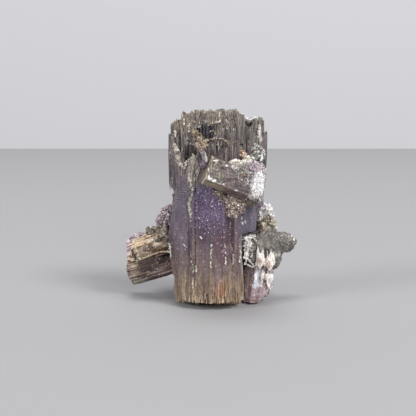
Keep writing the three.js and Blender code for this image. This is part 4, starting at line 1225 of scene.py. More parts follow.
lumpLooks = {
    "knob": {
        "slot": "clear_aragonite", "finish": "knobDruse", "voxel": 0.13,
        "skin": {"Seed": 6.0, "Rib Width": 0.7},
        "lumps": [
            ((8.3, -5.6, 30.4), (3.6, 3.0, 3.4)), ((6.6, -7.1, 31.2), (2.3, 1.7, 2.4)),
            ((9.7, -5.4, 28.0), (1.9, 2.3, 3.2)), ((10.7, -2.8, 30.2), (1.6, 2.0, 2.9)),
            ((8.9, -6.9, 28.6), (1.6, 1.2, 2.2)), ((10.6, -5.2, 25.4), (0.8, 1.2, 0.9)),
            ((7.8, -7.1, 27.2), (1.1, 0.9, 0.8)), ((9.3, -6.6, 26.2), (1.2, 1.0, 0.9)),
        ],
        "crystals": standing(31, 9.0, (0.16, 0.5), 0.7, Lean=0.8),
    },
    "rustLump": {
        "slot": "clear_aragonite", "finish": "goldStain", "voxel": 0.12,
        "skin": {"Rib Width": 0.6, "Seed": 9.0},
        "lumps": [
            ((7.0, -5.2, 35.1), (0.75, 0.8, 0.7)), ((6.5, -5.4, 35.6), (0.55, 0.5, 0.5)),
            ((7.4, -5.3, 34.5), (0.5, 0.6, 0.5)),
        ],
        "crystals": standing(33, 6.0, (0.2, 0.55), 0.6, Lean=0.9),
    },
    "tanFlakes": {
        "slot": "clear_aragonite", "finish": "paleCrust", "voxel": 0.12,
        "skin": {"Rib Width": 0.6, "Seed": 10.0},
        "lumps": [
            ((5.0, -7.7, 33.3), (1.0, 0.8, 0.7)), ((6.2, -7.6, 33.4), (0.8, 0.8, 0.6)),
            ((4.9, -8.2, 32.5), (0.7, 0.6, 0.4)), ((8.0, -6.4, 33.9), (0.9, 0.8, 0.7)),
            ((7.4, -6.9, 33.2), (0.7, 0.8, 0.6)),
        ],
        "crystals": standing(34, 5.0, (0.3, 0.9), 0.8, Lean=1.0),
    },
    "greyShoulder": {
        "slot": "clear_aragonite", "finish": "greyDruse", "voxel": 0.12,
        "skin": {"Rib Width": 0.6, "Seed": 12.0},
        "lumps": [
            ((9.8, -2.0, 35.4), (1.4, 0.7, 1.9)), ((11.2, -1.5, 34.8), (1.0, 0.6, 1.7)),
            ((9.2, -2.6, 34.0), (0.9, 0.9, 0.9)),
        ],
        "crystals": standing(36, 8.0, (0.14, 0.4), 0.35, Lean=0.8),
    },
    "tanLedges": {
        "slot": "violet_aragonite", "finish": "tanGrain", "voxel": 0.1,
        "skin": {"Rib Width": 0.5, "Seed": 18.0},
        "runs": [  # thickness, then x and z of each point along the front
            (0.22, (-4.0, 42.3), (-2.9, 42.1), (-1.6, 42.6)),
            (0.3, (-1.6, 42.5), (-0.6, 41.9), (0.9, 42.1)),
            (
                0.24, (-1.6, 37.9), (-0.6, 38.4), (0.6, 38.7), (1.7, 38.8), (2.7, 38.4), (3.7, 37.9),
                (4.0, 36.9),
            ),
            (0.2, (0.0, 40.3), (0.5, 40.4), (0.9, 39.5)), (0.16, (1.4, 38.2), (1.6, 36.6)),
            (0.16, (2.9, 37.6), (3.2, 35.8)),
        ],
        "crystals": standing(43, 6.0, (0.12, 0.34), 0.35),
    },
    "spikyPatch": {
        "slot": "violet_aragonite", "finish": "spikyBrown", "voxel": 0.12,
        "skin": {"Rib Width": 0.5, "Seed": 19.0},
        "runs": [
            (0.6, (-3.9, 39.9), (-3.1, 39.0), (-2.2, 37.9)), (0.35, (-3.4, 40.4), (-2.4, 39.6)),
            (0.45, (-2.6, 38.8), (-1.7, 38.0), (-1.4, 37.2)),
        ],
        "crystals": standing(44, 6.0, (0.16, 0.36), 1.7, Lean=1.1, Taper=0.4),
    },
    "paleRuns": {
        "slot": "violet_aragonite", "finish": "paleCrust", "voxel": 0.1,
        "skin": {"Rib Width": 0.5, "Seed": 20.0},
        "runs": [
            # the run at x -8.8 from z 25.6 to 23.4 is a painted highlight along the column's left edge
            (0.17, (-4.3, 11.0), (-3.9, 9.4), (-4.1, 8.4)), (0.12, (-8.8, 25.6), (-8.8, 23.4)),
            (0.12, (-8.9, 29.6), (-8.8, 28.4)), (0.14, (-4.0, 7.4), (-4.2, 4.8)),
            (0.12, (-3.4, 10.4), (-3.2, 8.9)), (0.14, (-0.1, 11.4), (-0.1, 10.0)),
            (0.12, (3.2, 12.4), (3.3, 10.8)), (0.12, (4.3, 19.8), (4.1, 18.2)),
            (0.12, (4.9, 12.6), (5.0, 11.4), (4.8, 10.2)), (0.12, (6.4, 14.8), (6.7, 12.6), (6.4, 10.8)),
            (0.5, (-8.1, 36.8), (-7.6, 35.6)), (0.2, (-7.9, 35.0), (-7.5, 33.8), (-7.0, 32.6)),
            (0.36, (-7.2, 34.9), (-7.0, 34.0)), (0.3, (-6.9, 33.2), (-6.5, 32.6), (-6.0, 32.2)),
            (0.24, (-4.9, 41.6), (-4.8, 40.2)), (0.18, (-5.2, 39.0), (-5.0, 37.2)),
            (0.24, (-8.0, 40.0), (-7.9, 38.8)), (0.12, (1.9, 43.9), (1.9, 42.3)),
            (0.1, (3.4, 42.6), (3.5, 40.9)), (0.12, (-6.0, 43.0), (-6.1, 41.4)),
        ],
        "crystals": standing(45, 7.0, (0.12, 0.36), 0.4, Lean=0.9),
    },
    "seamFill": {
        "slot": "violet_aragonite", "finish": "columnGrain", "voxel": 0.18,
        "skin": {
            "Rib Width": 0.6, "Rib Stretch": 0.04, "Rib Depth": 0.16, "Grain Depth": 0.04, "Seed": 21.0
        },
        "twigs": [
            (0.75, (-4.5, -5.0, 27.6), (-4.5, -5.0, 24.0), (-4.5, -4.9, 18.0), (-4.5, -5.1, 11.6)),
            (0.62, (-3.9, -5.7, 27.2), (-3.9, -5.9, 24.0), (-3.9, -6.2, 18.0), (-3.9, -6.4, 11.0)),
        ],
        "lumps": [((7.7, -1.4, 42.5), (0.55, 0.9, 0.7)), ((8.5, -0.8, 42.0), (0.8, 0.8, 0.5))],
        "crystals": standing(51, 1.5, (0.12, 0.3), 0.3),
    },
    "seamCrust": {
        "slot": "violet_aragonite", "finish": "paleCrust", "voxel": 0.1,
        "skin": {"Rib Width": 0.4, "Seed": 22.0},
        "twigs": [
            (
                0.26, (-3.9, -7.0, 35.1), (-4.3, -6.8, 33.3), (-5.0, -6.4, 32.0), (-4.9, -6.2, 31.2),
                (-5.0, -6.0, 30.3), (-4.6, -6.0, 29.4),
            ),
            (0.2, (-4.4, -6.9, 34.4), (-5.6, -6.3, 33.4), (-5.8, -6.1, 32.4)),
            (0.2, (-4.3, -6.2, 28.4), (-4.1, -6.3, 27.2), (-4.3, -6.1, 26.2), (-4.7, -6.0, 25.0)),
            (0.36, (-4.7, -5.9, 25.2), (-4.8, -5.9, 23.9), (-4.6, -5.9, 22.6), (-4.4, -6.0, 21.8)),
            (0.22, (-4.7, -5.9, 22.4), (-4.5, -5.9, 21.4), (-4.4, -6.0, 20.4)),
            (0.13, (-4.2, -6.0, 19.6), (-4.2, -6.1, 18.2)), (0.11, (-4.1, -6.3, 17.2), (-3.9, -6.4, 16.2)),
            (0.13, (-4.6, -6.0, 13.2), (-4.4, -6.2, 12.0)),
        ],
        "crystals": standing(52, 7.0, (0.12, 0.36), 0.4, Lean=0.9),
    },
    "glints": {
        "slot": "violet_aragonite", "finish": "whiteFlake", "voxel": 0.08,
        "skin": {"Rib Width": 0.4, "Seed": 23.0},
        "runs": [
            (0.15, (0.0, 15.2), (0.0, 14.7)), (0.19, (0.05, 14.1), (0.0, 13.3)),
            (0.16, (-0.05, 12.7), (0.0, 12.2)), (0.13, (3.0, 15.3), (3.1, 14.5)),
            (0.14, (4.2, 21.2), (4.3, 20.2)), (0.13, (-6.4, 14.8), (-5.9, 14.4), (-5.4, 14.1)),
            (0.1, (-6.0, 13.9), (-5.7, 13.5)), (0.1, (-2.6, 17.0), (-2.0, 16.4)),
            (0.14, (6.9, 20.8), (6.9, 20.2)), (0.12, (7.1, 19.4), (7.2, 18.8)),
            (0.1, (4.1, 17.6), (4.3, 16.6)), (0.11, (3.2, 13.6), (3.25, 13.0)),
            (0.32, (-9.6, 14.0), (-9.4, 12.6), (-9.3, 11.2)), (0.17, (7.8, 19.7), (7.9, 19.0)),
        ],
        "crystals": standing(53, 3.0, (0.12, 0.3), 0.25),
    },
    # painted highlight: white crust along the right spire and the rim of the notch, standing in for the
    # bright streaks there
    "spireHighlight": {
        "slot": "violet_aragonite", "finish": "whiteFlake", "voxel": 0.1,
        "skin": {"Rib Width": 0.4, "Seed": 24.0},
        "runs": [
            (0.2, (10.7, 43.2), (10.9, 41.4), (10.9, 39.6)),
            (0.34, (10.9, 40.6), (10.9, 39.0), (11.0, 37.4)),
            (0.24, (11.3, 36.6), (11.5, 35.2), (11.2, 33.8)),
        ],
        "twigs": [
            (
                0.27, (7.25, -2.4, 43.8), (7.7, -2.0, 43.2), (8.2, -1.6, 42.7), (8.8, -1.4, 42.6),
                (9.3, -1.6, 42.8), (10.2, -1.75, 43.2),
            ),
        ],
        "crystals": standing(46, 4.0, (0.12, 0.3), 0.25),
    },
    "beardCrust": {
        "slot": "violet_aragonite", "finish": "beardGrain", "voxel": 0.13,
        "skin": {"Rib Width": 0.6, "Seed": 25.0},
        "lumps": [
            ((3.4, -7.2, 25.6), (1.7, 0.9, 1.0)), ((5.2, -6.6, 24.4), (2.1, 1.1, 1.5)),
            ((7.4, -5.2, 24.8), (1.6, 1.2, 1.3)), ((4.8, -6.5, 22.4), (1.4, 0.9, 1.4)),
            ((9.4, -3.2, 24.4), (1.5, 1.3, 1.2)), ((1.8, -7.6, 26.8), (1.3, 0.7, 0.8)),
            ((6.6, -5.6, 23.0), (0.9, 0.8, 1.0)),
        ],
        "crystals": standing(47, 8.0, (0.14, 0.46), 0.55, Lean=0.9),
    },
    "marlFill": {
        "slot": "marl", "finish": "marlGrain", "voxel": 0.14, "skin": {"Rib Width": 0.8, "Seed": 29.0},
        "lumps": [((9.7, -0.7, 12.6), (1.5, 0.7, 2.8)), ((9.4, -0.6, 10.2), (1.3, 0.8, 1.4))],
        "crystals": standing(57, 3.0, (0.2, 0.5), 0.3),
    },
    "oliveRock": {
        "slot": "marl", "finish": "oliveRockGrain", "voxel": 0.14,
        "skin": {"Rib Width": 0.9, "Rib Depth": 0.3, "Seed": 30.0},
        "lumps": [
            ((13.2, 2.9, 18.9), (1.5, 0.8, 1.3)), ((12.4, 2.6, 17.4), (1.1, 0.8, 1.2)),
            ((14.4, 3.2, 18.0), (0.8, 0.6, 1.0)),
        ],
        "twigs": [(0.24, (13.4, 2.4, 20.3), (14.4, 2.6, 19.2), (14.9, 2.9, 18.0))],
        "crystals": standing(58, 2.0, (0.3, 0.8), 0.3),
    },
    "hangingCrust": {
        "slot": "marl", "finish": "whiteFlake", "voxel": 0.1,
        "skin": {"Rib Width": 0.4, "Rib Stretch": 0.15, "Rib Depth": 0.3, "Seed": 14.0},
        "lumps": [
            ((8.4, -1.6, 15.3), (1.1, 0.5, 0.7)), ((9.6, -1.4, 15.9), (0.8, 0.4, 0.4)),
            ((8.2, -1.8, 13.6), (0.75, 0.4, 1.6)), ((8.1, -1.9, 11.4), (0.6, 0.4, 1.6)),
            ((9.2, -1.6, 14.2), (0.4, 0.3, 0.6)), ((15.5, 3.0, 16.9), (0.5, 0.5, 0.4)),
        ],
        "twigs": [
            (0.14, (8.9, -1.6, 15.0), (9.3, -1.7, 14.0)), (0.2, (9.8, -1.5, 15.4), (10.3, -1.5, 14.8)),
            (0.2, (8.2, -1.8, 11.6), (8.7, -1.9, 10.6), (9.4, -1.9, 9.6), (10.1, -1.9, 8.8)),
            (0.16, (8.0, -1.8, 9.5), (9.0, -1.9, 9.0), (10.0, -1.9, 8.6)),
            (0.26, (8.0, -1.8, 11.0), (7.9, -1.8, 9.4)), (0.14, (9.6, -1.6, 12.0), (9.2, -1.7, 11.0)),
            (0.18, (8.9, -1.6, 14.2), (8.7, -1.8, 12.2)),
        ],
        "crystals": standing(37, 4.0, (0.12, 0.3), 0.45, Taper=0.5),
    },
    "whiteShoulder": {
        "slot": "marl", "finish": "lilacDruse", "voxel": 0.12, "skin": {"Rib Width": 0.7, "Seed": 15.0},
        "lumps": [
            ((12.8, 3.4, 21.2), (1.5, 1.4, 1.5)), ((13.9, 3.8, 20.0), (0.9, 1.0, 1.0)),
            ((11.6, 3.4, 20.6), (1.1, 1.2, 2.0)),
        ],
        "twigs": [(0.3, (12.6, 2.6, 19.6), (13.8, 2.8, 19.4), (14.6, 3.2, 18.2))],
        "crystals": standing(38, 2.6, (0.35, 0.9), 0.5),
    },
    "flakyFlank": {
        "slot": "mauve_aragonite", "finish": "flankGrain", "voxel": 0.12,
        "skin": {"Rib Width": 0.7, "Rib Stretch": 0.25, "Rib Depth": 0.25, "Seed": 26.0},
        "lumps": [
            ((12.9, 0.2, 5.4), (1.5, 1.3, 3.0)), ((12.2, 0.4, 3.0), (1.6, 1.3, 2.0)),
            ((13.6, 0.4, 6.2), (0.9, 1.2, 2.0)), ((11.2, 0.6, 1.8), (1.4, 1.2, 1.3)),
        ],
        "crystals": standing(54, 3.0, (0.2, 0.6), 0.5, Lean=0.8),
    },
    "goldEdges": {
        "slot": "stained_aragonite", "finish": "goldEdge", "voxel": 0.09,
        "skin": {"Rib Width": 0.5, "Rib Depth": 0.12, "Seed": 27.0},
        "runs": [
            (0.24, (-18.3, 13.6), (-17.6, 11.7), (-16.8, 9.5)),
            (0.17, (-16.8, 9.5), (-14.4, 10.3), (-11.9, 11.2), (-9.6, 12.0)),
            (0.16, (-18.5, 13.9), (-16.9, 14.6), (-15.6, 15.0)), (0.3, (-18.9, 9.6), (-17.4, 9.0)),
        ],
        "crystals": standing(55, 3.0, (0.12, 0.3), 0.25),
    },
    # painted shade: a dark crust laid along the parting between the two left crystals, where shade falls
    "partingShade": {
        "slot": "stained_aragonite", "finish": "partingShadeGrain", "voxel": 0.1,
        "skin": {"Rib Width": 0.5, "Seed": 28.0},
        "runs": [
            (0.26, (-18.9, 8.6), (-16.6, 8.9), (-14.2, 9.7), (-11.8, 10.6), (-9.8, 11.3)),
            (0.36, (-18.5, 11.6), (-18.1, 10.6), (-17.6, 9.8)),
        ],
        "crystals": standing(56, 3.0, (0.12, 0.3), 0.2),
    },
    "leftDruse": {
        "slot": "mauve_aragonite", "finish": "mauveDruse", "voxel": 0.12,
        "skin": {"Rib Width": 0.8, "Seed": 16.0}, "replaces": ["left_druse"],
        "lumps": [
            ((-10.5, 6.2, 19.1), (2.0, 2.2, 2.3)), ((-11.9, 6.8, 17.9), (1.2, 1.4, 1.2)),
            ((-9.6, 5.8, 21.0), (1.2, 1.3, 1.1)), ((-16.9, 6.4, 13.9), (2.5, 1.6, 1.2)),
            ((-18.6, 5.8, 13.2), (1.1, 1.2, 1.1)),
        ],
        "crystals": standing(39, 5.0, (0.3, 0.9), 0.6, Lean=0.5),
    },
    "oliveNodules": {
        "slot": "mauve_aragonite", "finish": "oliveDruse", "voxel": 0.12,
        "skin": {"Rib Width": 0.9, "Seed": 17.0},
        "lumps": [
            ((-14.2, 5.4, 16.0), (1.3, 1.2, 1.0)), ((-12.6, 5.2, 16.0), (1.2, 1.1, 1.2)),
            ((-11.0, 5.0, 16.0), (1.2, 1.1, 1.4)), ((-12.4, 4.2, 14.4), (1.2, 0.9, 0.9)),
            ((-10.4, 4.2, 14.0), (1.3, 1.0, 1.2)),
        ],
        "crystals": standing(41, 1.2, (0.6, 1.4), 0.5, Lean=0.3),
    },
}


def makeLump(name, look):
    base = lumpsMesh(look.get("lumps", ()), look["voxel"], look.get("twigs", ()), look.get("runs", ()))
    finish = grains[look["finish"]]
    body = skinned(name, base.copy(), finish, {**roughSkin, **look["skin"]})
    crystals = scattered(name, base, finish, look["crystals"])
    whole = joined(name, [body, crystals], finish)
    finishPiece(whole, look["slot"], *look.get("replaces", ()))


for name, look in lumpLooks.items():
    makeLump(name, look)
print("druse and crust grown")


# the low crystals at the left and at the right foot, and the matrix behind them all

speckSize = 0.4  # mm
sideRelief = 0.3  # mm


def stainedMaterial(name, look):
    material, tree, shader = newMaterial(name)
    place = placeMm(tree)
    growth = attribute(tree, "growth", "Vector")
    striae = useGroup(
        tree, striaeGroup, Growth=growth, Width=look["lineWidth"], Stretch=look["lineStretch"]
    )
    tint = ramp(
        tree, plus(tree, times(tree, striae["Lines"], 0.65), times(tree, striae["Tone"], 0.35)),
        look["tones"],
    )
    tint = patched(tree, tint, place, look["patches"], 0.5, 1.2)
    # painted shade: grooves and pits are darkened towards the dark colour
    low = calc(tree, "MAXIMUM", times(tree, attribute(tree, "groove"), 0.8), attribute(tree, "pit"))
    tint = mixColour(tree, times(tree, low, look["hollowShade"]), tint, colour(*look["dark"]))
    # pale specks, partly the crystal's own specks and partly painted glints
    sugar = useGroup(tree, sugarGroup, Vector=place, Size=speckSize, Share=look["specks"])
    tint = mixColour(tree, times(tree, sugar["Specks"], 0.7), tint, colour(*look["speckAndGlint"]))
    finished(tree, shader, tint, spread(tree, striae["Breaks"], 0.3, 0.7, *look["roughness"]))
    facets = times(tree, sugar["Facet"], look.get("facets", 0.4))
    bumped(tree, shader, plus(tree, times(tree, striae["Lines"], 0.6), facets), sideRelief)
    return material


sideSkin = {
    "Rib Width": 0.8, "Rib Depth": 0.18, "End Step": 0.2, "Fine Width": 0.35, "Fine Depth": 0.08,
    "Grain Size": 0.4, "Grain Depth": 0.04, "Seed": 11.0,
}
sideLooks = {
    "leaningRod": {
        "slot": "violet_aragonite", "root": (-1.4, -7.6, 34.0), "tip": (-3.2, -8.0, 37.6), "voxel": 0.08,
        "lumps": [((-1.7, -7.6, 33.1), (0.95, 0.7, 1.1))],
        "twigs": [(0.72, (-1.2, -7.7, 33.8), (-1.6, -7.9, 35.2), (-2.2, -8.1, 36.4), (-3.1, -8.1, 37.5))],
        "skin": {"Rib Width": 0.4, "Rib Depth": 0.12, "Fine Width": 0.25, "Fine Depth": 0.04, "Seed": 41.0},
        "lineWidth": 0.2, "lineStretch": 0.08,
        "tones": [(0.1, (118, 102, 106)), (0.5, (168, 152, 154)), (0.95, (236, 230, 226))],
        "patches": [
            ((-1.8, -7.8, 33.0), (1.1, 1.4, 1.1), 0.8, (108, 88, 114)),
            ((-2.9, -8.2, 37.2), (0.9, 1.2, 1.2), 0.8, (160, 134, 108)),
            ((-1.0, -8.2, 35.2), (0.3, 1.0, 1.4), 0.9, (246, 242, 238)),
        ],
        "dark": (60, 48, 50), "hollowShade": 0.5, "speckAndGlint": (246, 242, 238), "specks": 0.12,
        "roughness": (0.08, 0.3),
    },
    "goldCrystal": {
        "node": "upper_left_crystal", "slot": "stained_aragonite", "root": (-5.6, 6.8, 15.5),
        "tip": (-20.6, 4.8, 10.4),
        "voxel": 0.13,
        "skin": {
            "Rib Width": 1.4, "Pit Size": 1.2, "Pit Depth": 0.3, "Pit Share": 0.24, "Rib Depth": 0.2,
            "Grain Depth": 0.12,
        },
        "lineWidth": 0.4, "lineStretch": 0.3, "facets": 0.8,
        "tones": [
            (0.1, (98, 70, 55)), (0.35, (190, 154, 125)), (0.6, (240, 212, 180)), (0.9, (255, 250, 238))
        ],
        "patches": [
            ((-19.6, 4.0, 12.6), (1.1, 4.0, 2.6), 0.9, (216, 190, 192)),
            ((-17.4, 3.0, 12.6), (1.5, 2.5, 1.6), 0.6, (238, 208, 168)),
            ((-16.6, 2.8, 9.2), (2.2, 1.5, 0.5), 0.9, (252, 240, 214)),
            ((-15.0, 3.0, 12.0), (2.6, 2.0, 0.8), 0.7, (134, 106, 98)),
            ((-12.0, 3.4, 11.4), (2.0, 2.0, 1.2), 0.6, (124, 84, 48)),
            ((-11.0, 3.4, 13.6), (1.4, 2.0, 1.2), 0.5, (214, 184, 138)),
            ((-9.4, 3.6, 12.4), (1.2, 2.0, 1.8), 0.6, (96, 76, 64)),
        ],
        "dark": (54, 38, 30), "hollowShade": 0.8, "speckAndGlint": (255, 248, 232), "specks": 0.2,
        "roughness": (0.06, 0.3),
    },
    "brownCrystal": {
        "node": "lower_left_crystal", "slot": "stained_aragonite", "root": (-5.2, 6.2, 9.2),
        "tip": (-19.8, 7.6, 4.6),
        "voxel": 0.13,
        "skin": {
            "Rib Width": 1.0, "Pit Size": 1.4, "Pit Depth": 0.3, "Pit Share": 0.32, "Seed": 21.0,
            "Grain Depth": 0.1,
        },
        "lineWidth": 0.28, "lineStretch": 0.05, "facets": 0.7,
        "tones": [
            (0.1, (52, 37, 35)), (0.45, (100, 79, 73)), (0.7, (144, 121, 109)), (0.95, (228, 208, 188))
        ],
        "patches": [
            ((-19.4, 5.6, 7.4), (2.0, 2.5, 0.7), 0.8, (246, 230, 202)),
            ((-18.4, 5.0, 6.0), (1.6, 2.0, 1.0), 0.5, (160, 140, 118)),
            ((-17.4, 5.0, 3.2), (3.0, 2.6, 1.4), 0.6, (172, 162, 146)),
            ((-11.0, 4.0, 8.6), (2.6, 2.0, 0.8), 0.6, (84, 58, 54)),
            ((-11.5, 4.0, 10.4), (1.2, 2.0, 0.5), 0.6, (196, 182, 164)),
            ((-13.0, 4.0, 6.0), (3.0, 2.0, 1.0), 0.4, (140, 118, 120)),
        ],
        "dark": (50, 36, 32), "hollowShade": 0.75, "speckAndGlint": (236, 222, 200), "specks": 0.1,
        "roughness": (0.12, 0.4),
    },
    "mauveFoot": {
        "node": "right_foot_crystal", "slot": "mauve_aragonite", "root": (11.2, 2.4, 8.7),
        "tip": (9.6, 0.2, -0.4),
        "voxel": 0.12, "skin": {"Rib Width": 1.6, "Rib Depth": 0.08, "Fine Depth": 0.04, "Seed": 31.0},
        "lineWidth": 0.7, "lineStretch": 0.6, "facets": 0.5,
        "tones": [(0.1, (140, 118, 122)), (0.5, (172, 150, 154)), (0.95, (214, 200, 206))],
        "patches": [
            ((8.4, -2.0, 6.0), (1.4, 2.4, 4.0), 0.6, (158, 134, 133)),
            # painted highlight: the white patch and the thin bluish-white one beside it on the glossy face
            ((11.1, -2.0, 6.2), (1.15, 3.4, 2.4), 1.0, (254, 252, 255)),
            ((10.3, -2.6, 5.0), (0.4, 2.4, 1.2), 0.9, (206, 214, 228)),
            ((9.4, -1.0, 0.4), (3.0, 4.0, 1.2), 0.6, (132, 106, 98)),
            ((12.9, -0.6, 5.6), (1.0, 3.0, 2.6), 0.7, (140, 122, 104)),
            ((13.4, 0.0, 2.6), (1.6, 3.0, 1.0), 0.6, (204, 194, 190)),
        ],
        "dark": (70, 52, 52), "hollowShade": 0.4, "speckAndGlint": (248, 244, 244), "specks": 0.08,
        "roughness": (0.06, 0.26),
    },
    "marlMatrix": {
        "node": "matrix", "slot": "marl", "root": (0, 0, 0), "tip": (0, 0, 1),
        "voxel": 0.22, "skin": {
            "Rib Width": 1.9, "Rib Stretch": 1.0, "Rib Depth": 0.16, "End Step": 0.16, "Fine Depth": 0.0,
            "Grain Size": 0.7, "Grain Depth": 0.16, "Pit Size": 1.3, "Pit Depth": 0.3, "Pit Share": 0.3,
        },
        "lineWidth": 0.5, "lineStretch": 1.0, "facets": 0.9,
        "tones": [(0.1, (80, 74, 68)), (0.5, (114, 108, 101)), (0.95, (156, 150, 142))],
        "patches": [
            ((12.8, 2.6, 18.6), (1.9, 2.5, 2.0), 0.8, (142, 131, 108)),
            ((13.6, 2.6, 18.0), (0.4, 2.5, 1.6), 0.6, (196, 188, 166)),
            ((15.8, 3.4, 16.6), (1.0, 2.0, 0.35), 0.95, (246, 244, 240)),
            ((17.6, 3.6, 16.0), (0.8, 2.0, 0.3), 0.6, (190, 170, 154)),
            # painted glints: the next two small white spots
            ((19.3, 4.4, 14.8), (0.3, 2.0, 0.4), 0.95, (250, 250, 252)),
            ((19.8, 4.6, 13.9), (0.2, 2.0, 0.3), 0.9, (244, 244, 246)),
            # painted light: lightens the matrix in the shaded hollow behind the blades
            ((10.4, -0.6, 13.0), (2.0, 1.6, 3.6), 0.5, (186, 178, 166)),
            ((16.2, 2.6, 10.6), (1.4, 2.0, 0.4), 0.6, (206, 200, 192)),
            ((8.6, 16.4, 5.6), (4.0, 2.6, 3.4), 0.7, (122, 104, 100)),
            ((-6.4, 15.2, 14.9), (3.0, 2.4, 2.8), 0.7, (116, 100, 106)),
            ((-5.2, 14.2, 3.6), (2.6, 2.2, 2.4), 0.7, (124, 108, 98)),
            ((5.4, 13.4, 18.2), (2.4, 2.0, 2.4), 0.7, (118, 102, 110)),
        ],
        "dark": (62, 54, 48), "hollowShade": 0.6, "speckAndGlint": (190, 184, 174), "specks": 0.22,
        "roughness": (0.5, 0.8),
    },
}


def makeSide(name, look):
    if "node" in look:
        surface = remeshed(nodeMesh(look["node"]), look["voxel"])
    else:
        surface = lumpsMesh(look["lumps"], look["voxel"], look["twigs"])
    turn = axisTurn(look["root"], look["tip"])
    piece = skinned(name, surface, stainedMaterial(name, look), {**sideSkin, **look["skin"]}, turn)
    replaced = [look["node"]] if "node" in look else []
    finishPiece(piece, look["slot"], *replaced)


for name, look in sideLooks.items():
    makeSide(name, look)


# white blades in front of the matrix and on the right foot crystal

bladeLook = {
    "leaves": [  # foot, tip, width, thickness
        ((10.9, -2.1, 8.4), (10.7, -2.3, 14.0), 1.3, 0.9),
        ((11.7, -2.2, 8.6), (11.9, -2.3, 13.6), 1.3, 1.0),
        ((11.3, -2.4, 8.2), (11.2, -2.5, 12.4), 2.0, 0.9),
        ((12.3, -2.2, 8.4), (12.3, -2.3, 11.2), 0.9, 0.8),
        ((10.4, -2.0, 8.2), (10.5, -2.2, 10.8), 0.9, 0.8),
        ((13.0, -2.0, 8.4), (13.0, -2.0, 12.8), 0.9, 0.8),
        ((13.6, -1.9, 8.2), (13.9, -1.9, 13.2), 1.3, 0.9),
        ((14.3, -1.7, 8.6), (14.5, -1.7, 12.4), 0.9, 0.9),
        ((13.5, -2.1, 7.8), (13.5, -2.1, 10.8), 2.0, 0.9),
        ((14.6, -1.5, 9.0), (14.8, -1.5, 11.0), 0.6, 0.7), ((11.6, -2.0, 5.2), (11.9, -2.3, 8.4), 1.1, 0.8),
        ((12.4, -1.8, 5.4), (12.3, -2.2, 8.0), 0.9, 0.8), ((12.9, -1.5, 4.2), (13.2, -1.7, 8.2), 1.2, 0.8),
        ((13.8, -1.2, 4.0), (13.8, -1.5, 7.8), 1.2, 0.8), ((13.3, -1.2, 3.0), (13.3, -1.4, 5.4), 1.0, 0.7),
        ((14.3, -0.9, 4.8), (14.2, -1.2, 7.4), 0.8, 0.8),
    ],
    "voxel": 0.09,
    "skin": {
        "Rib Width": 0.4, "Rib Depth": 0.2, "Rib Stretch": 0.3, "End Step": 0.2, "Fine Width": 0.2,
        "Fine Depth": 0.04, "Grain Size": 0.5, "Grain Depth": 0.12, "Pit Size": 0.9, "Pit Depth": 0.2,
        "Pit Share": 0.12,
    },
    "white": (252, 248, 242), "stain": (176, 120, 92), "roughness": (0.15, 0.4), "ior": 1.5,
    "grainSize": 0.25, "grainShare": 0.2, "grainShade": (0.85, 1.05), "relief": 0.2,
    "stains": [  # centre and reach in mm
        ((11.2, -2.4, 10.3), (0.5, 2.0, 0.9)), ((11.8, -2.4, 8.9), (0.6, 2.0, 0.4)),
        ((13.4, -2.1, 9.4), (0.45, 2.0, 1.0)), ((12.6, -2.0, 10.2), (0.3, 2.0, 1.6)),
        ((12.5, -2.0, 6.4), (0.3, 2.0, 1.2)),
    ],
}


def bladeMaterial(look):
    material, tree, shader = newMaterial("whiteBlade")
    place = placeMm(tree)
    low = calc(tree, "MAXIMUM", attribute(tree, "pit"), times(tree, attribute(tree, "groove"), 0.3))
    mask = times(tree, spread(tree, noiseAt(tree, place, 0.8, 3.0), 0.62, 0.7), 0.8)
    dirty = calc(tree, "MAXIMUM", mask, times(tree, low, 0.45))
    tint = mixColour(tree, dirty, colour(*look["white"]), colour(*look["stain"]))
    tint = spotted(tree, tint, place, look["stains"], 1.4, 0.4, 0.6, look["stain"])
    sugar = useGroup(tree, sugarGroup, Vector=place, Size=look["grainSize"], Share=look["grainShare"])
    tint = shaded(tree, tint, sugar["Tone"], *look["grainShade"])
    finished(tree, shader, tint, spread(tree, sugar["Tone"], 0.0, 1.0, *look["roughness"]), look["ior"])
    bumped(tree, shader, sugar["Facet"], look["relief"])
    return material


def makeBlades(look):
    shape = leavesMesh(look["leaves"], look["voxel"])
    finishPiece(skinned("blades", shape, bladeMaterial(look), look["skin"]), "marl")


makeBlades(bladeLook)
print("side crystals, matrix and blades made")


# floor and light

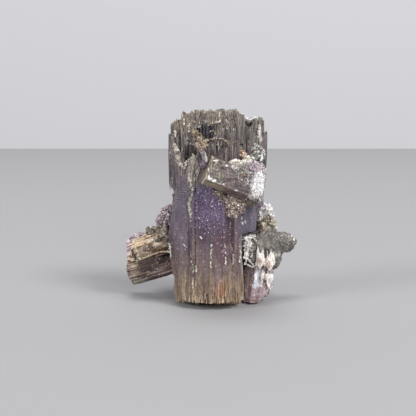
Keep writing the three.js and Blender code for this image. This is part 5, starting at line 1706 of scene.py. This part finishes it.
stagePlan = {
    "halfWidth": 3.0, "wallAt": 0.42, "wallHeight": 2.0,  # m
    "floorTint": (147, 146, 147), "wallTint": (192, 192, 195), "roughness": 0.8,
    "worldTint": (228, 230, 236), "worldStrength": 0.46, "lightsAimAt": (0, 0, 20),  # mm
    "lights": {  # place in m, size in m, power in W
        "key": ((0.75, -0.6, 1.0), 0.45, 15.0),
        "fill": ((-0.9, -0.5, 0.6), 0.4, 6.2),
        "top": ((-0.1, 0.2, 1.2), 0.5, 6.0),
        "front": ((0.3, -0.9, 0.4), 0.3, 3.0),
    },
}


def makeSheet(name, corners, tint, roughness):
    mesh = bpy.data.meshes.new(name)
    mesh.from_pydata(corners, [], [(0, 1, 2, 3)])
    material, _, shader = newMaterial(name + "Finish")
    shader.inputs["Base Color"].default_value = colour(*tint)
    shader.inputs["Roughness"].default_value = roughness
    mesh.materials.append(material)
    linked(name, mesh)


def makeFloor(plan):
    side, wall, height = plan["halfWidth"], plan["wallAt"], plan["wallHeight"]
    floorCorners = [(-side, -side, 0), (side, -side, 0), (side, wall, 0), (-side, wall, 0)]
    wallCorners = [(-side, wall, 0), (side, wall, 0), (side, wall, height), (-side, wall, height)]
    makeSheet("floor", floorCorners, plan["floorTint"], plan["roughness"])
    makeSheet("wall", wallCorners, plan["wallTint"], plan["roughness"])


def makeLight(name, place, size, power, aim):
    data = bpy.data.lights.new(name, "AREA")
    data.shape = "DISK"
    data.size = size
    data.energy = power
    light = linked(name, data)
    light.location = place
    light.rotation_euler = (at(*aim) - Vector(place)).to_track_quat("-Z", "Y").to_euler()


def makeWorld(plan):
    world = bpy.data.worlds.new("studio")
    world.use_nodes = True
    background = world.node_tree.nodes["Background"]
    background.inputs[0].default_value = colour(*plan["worldTint"])
    background.inputs[1].default_value = plan["worldStrength"]
    bpy.context.scene.world = world


makeFloor(stagePlan)
makeWorld(stagePlan)
for name, (place, size, power) in stagePlan["lights"].items():
    makeLight(name, place, size, power, stagePlan["lightsAimAt"])
bpy.context.scene.view_settings.view_transform = "Standard"
print("stage set")
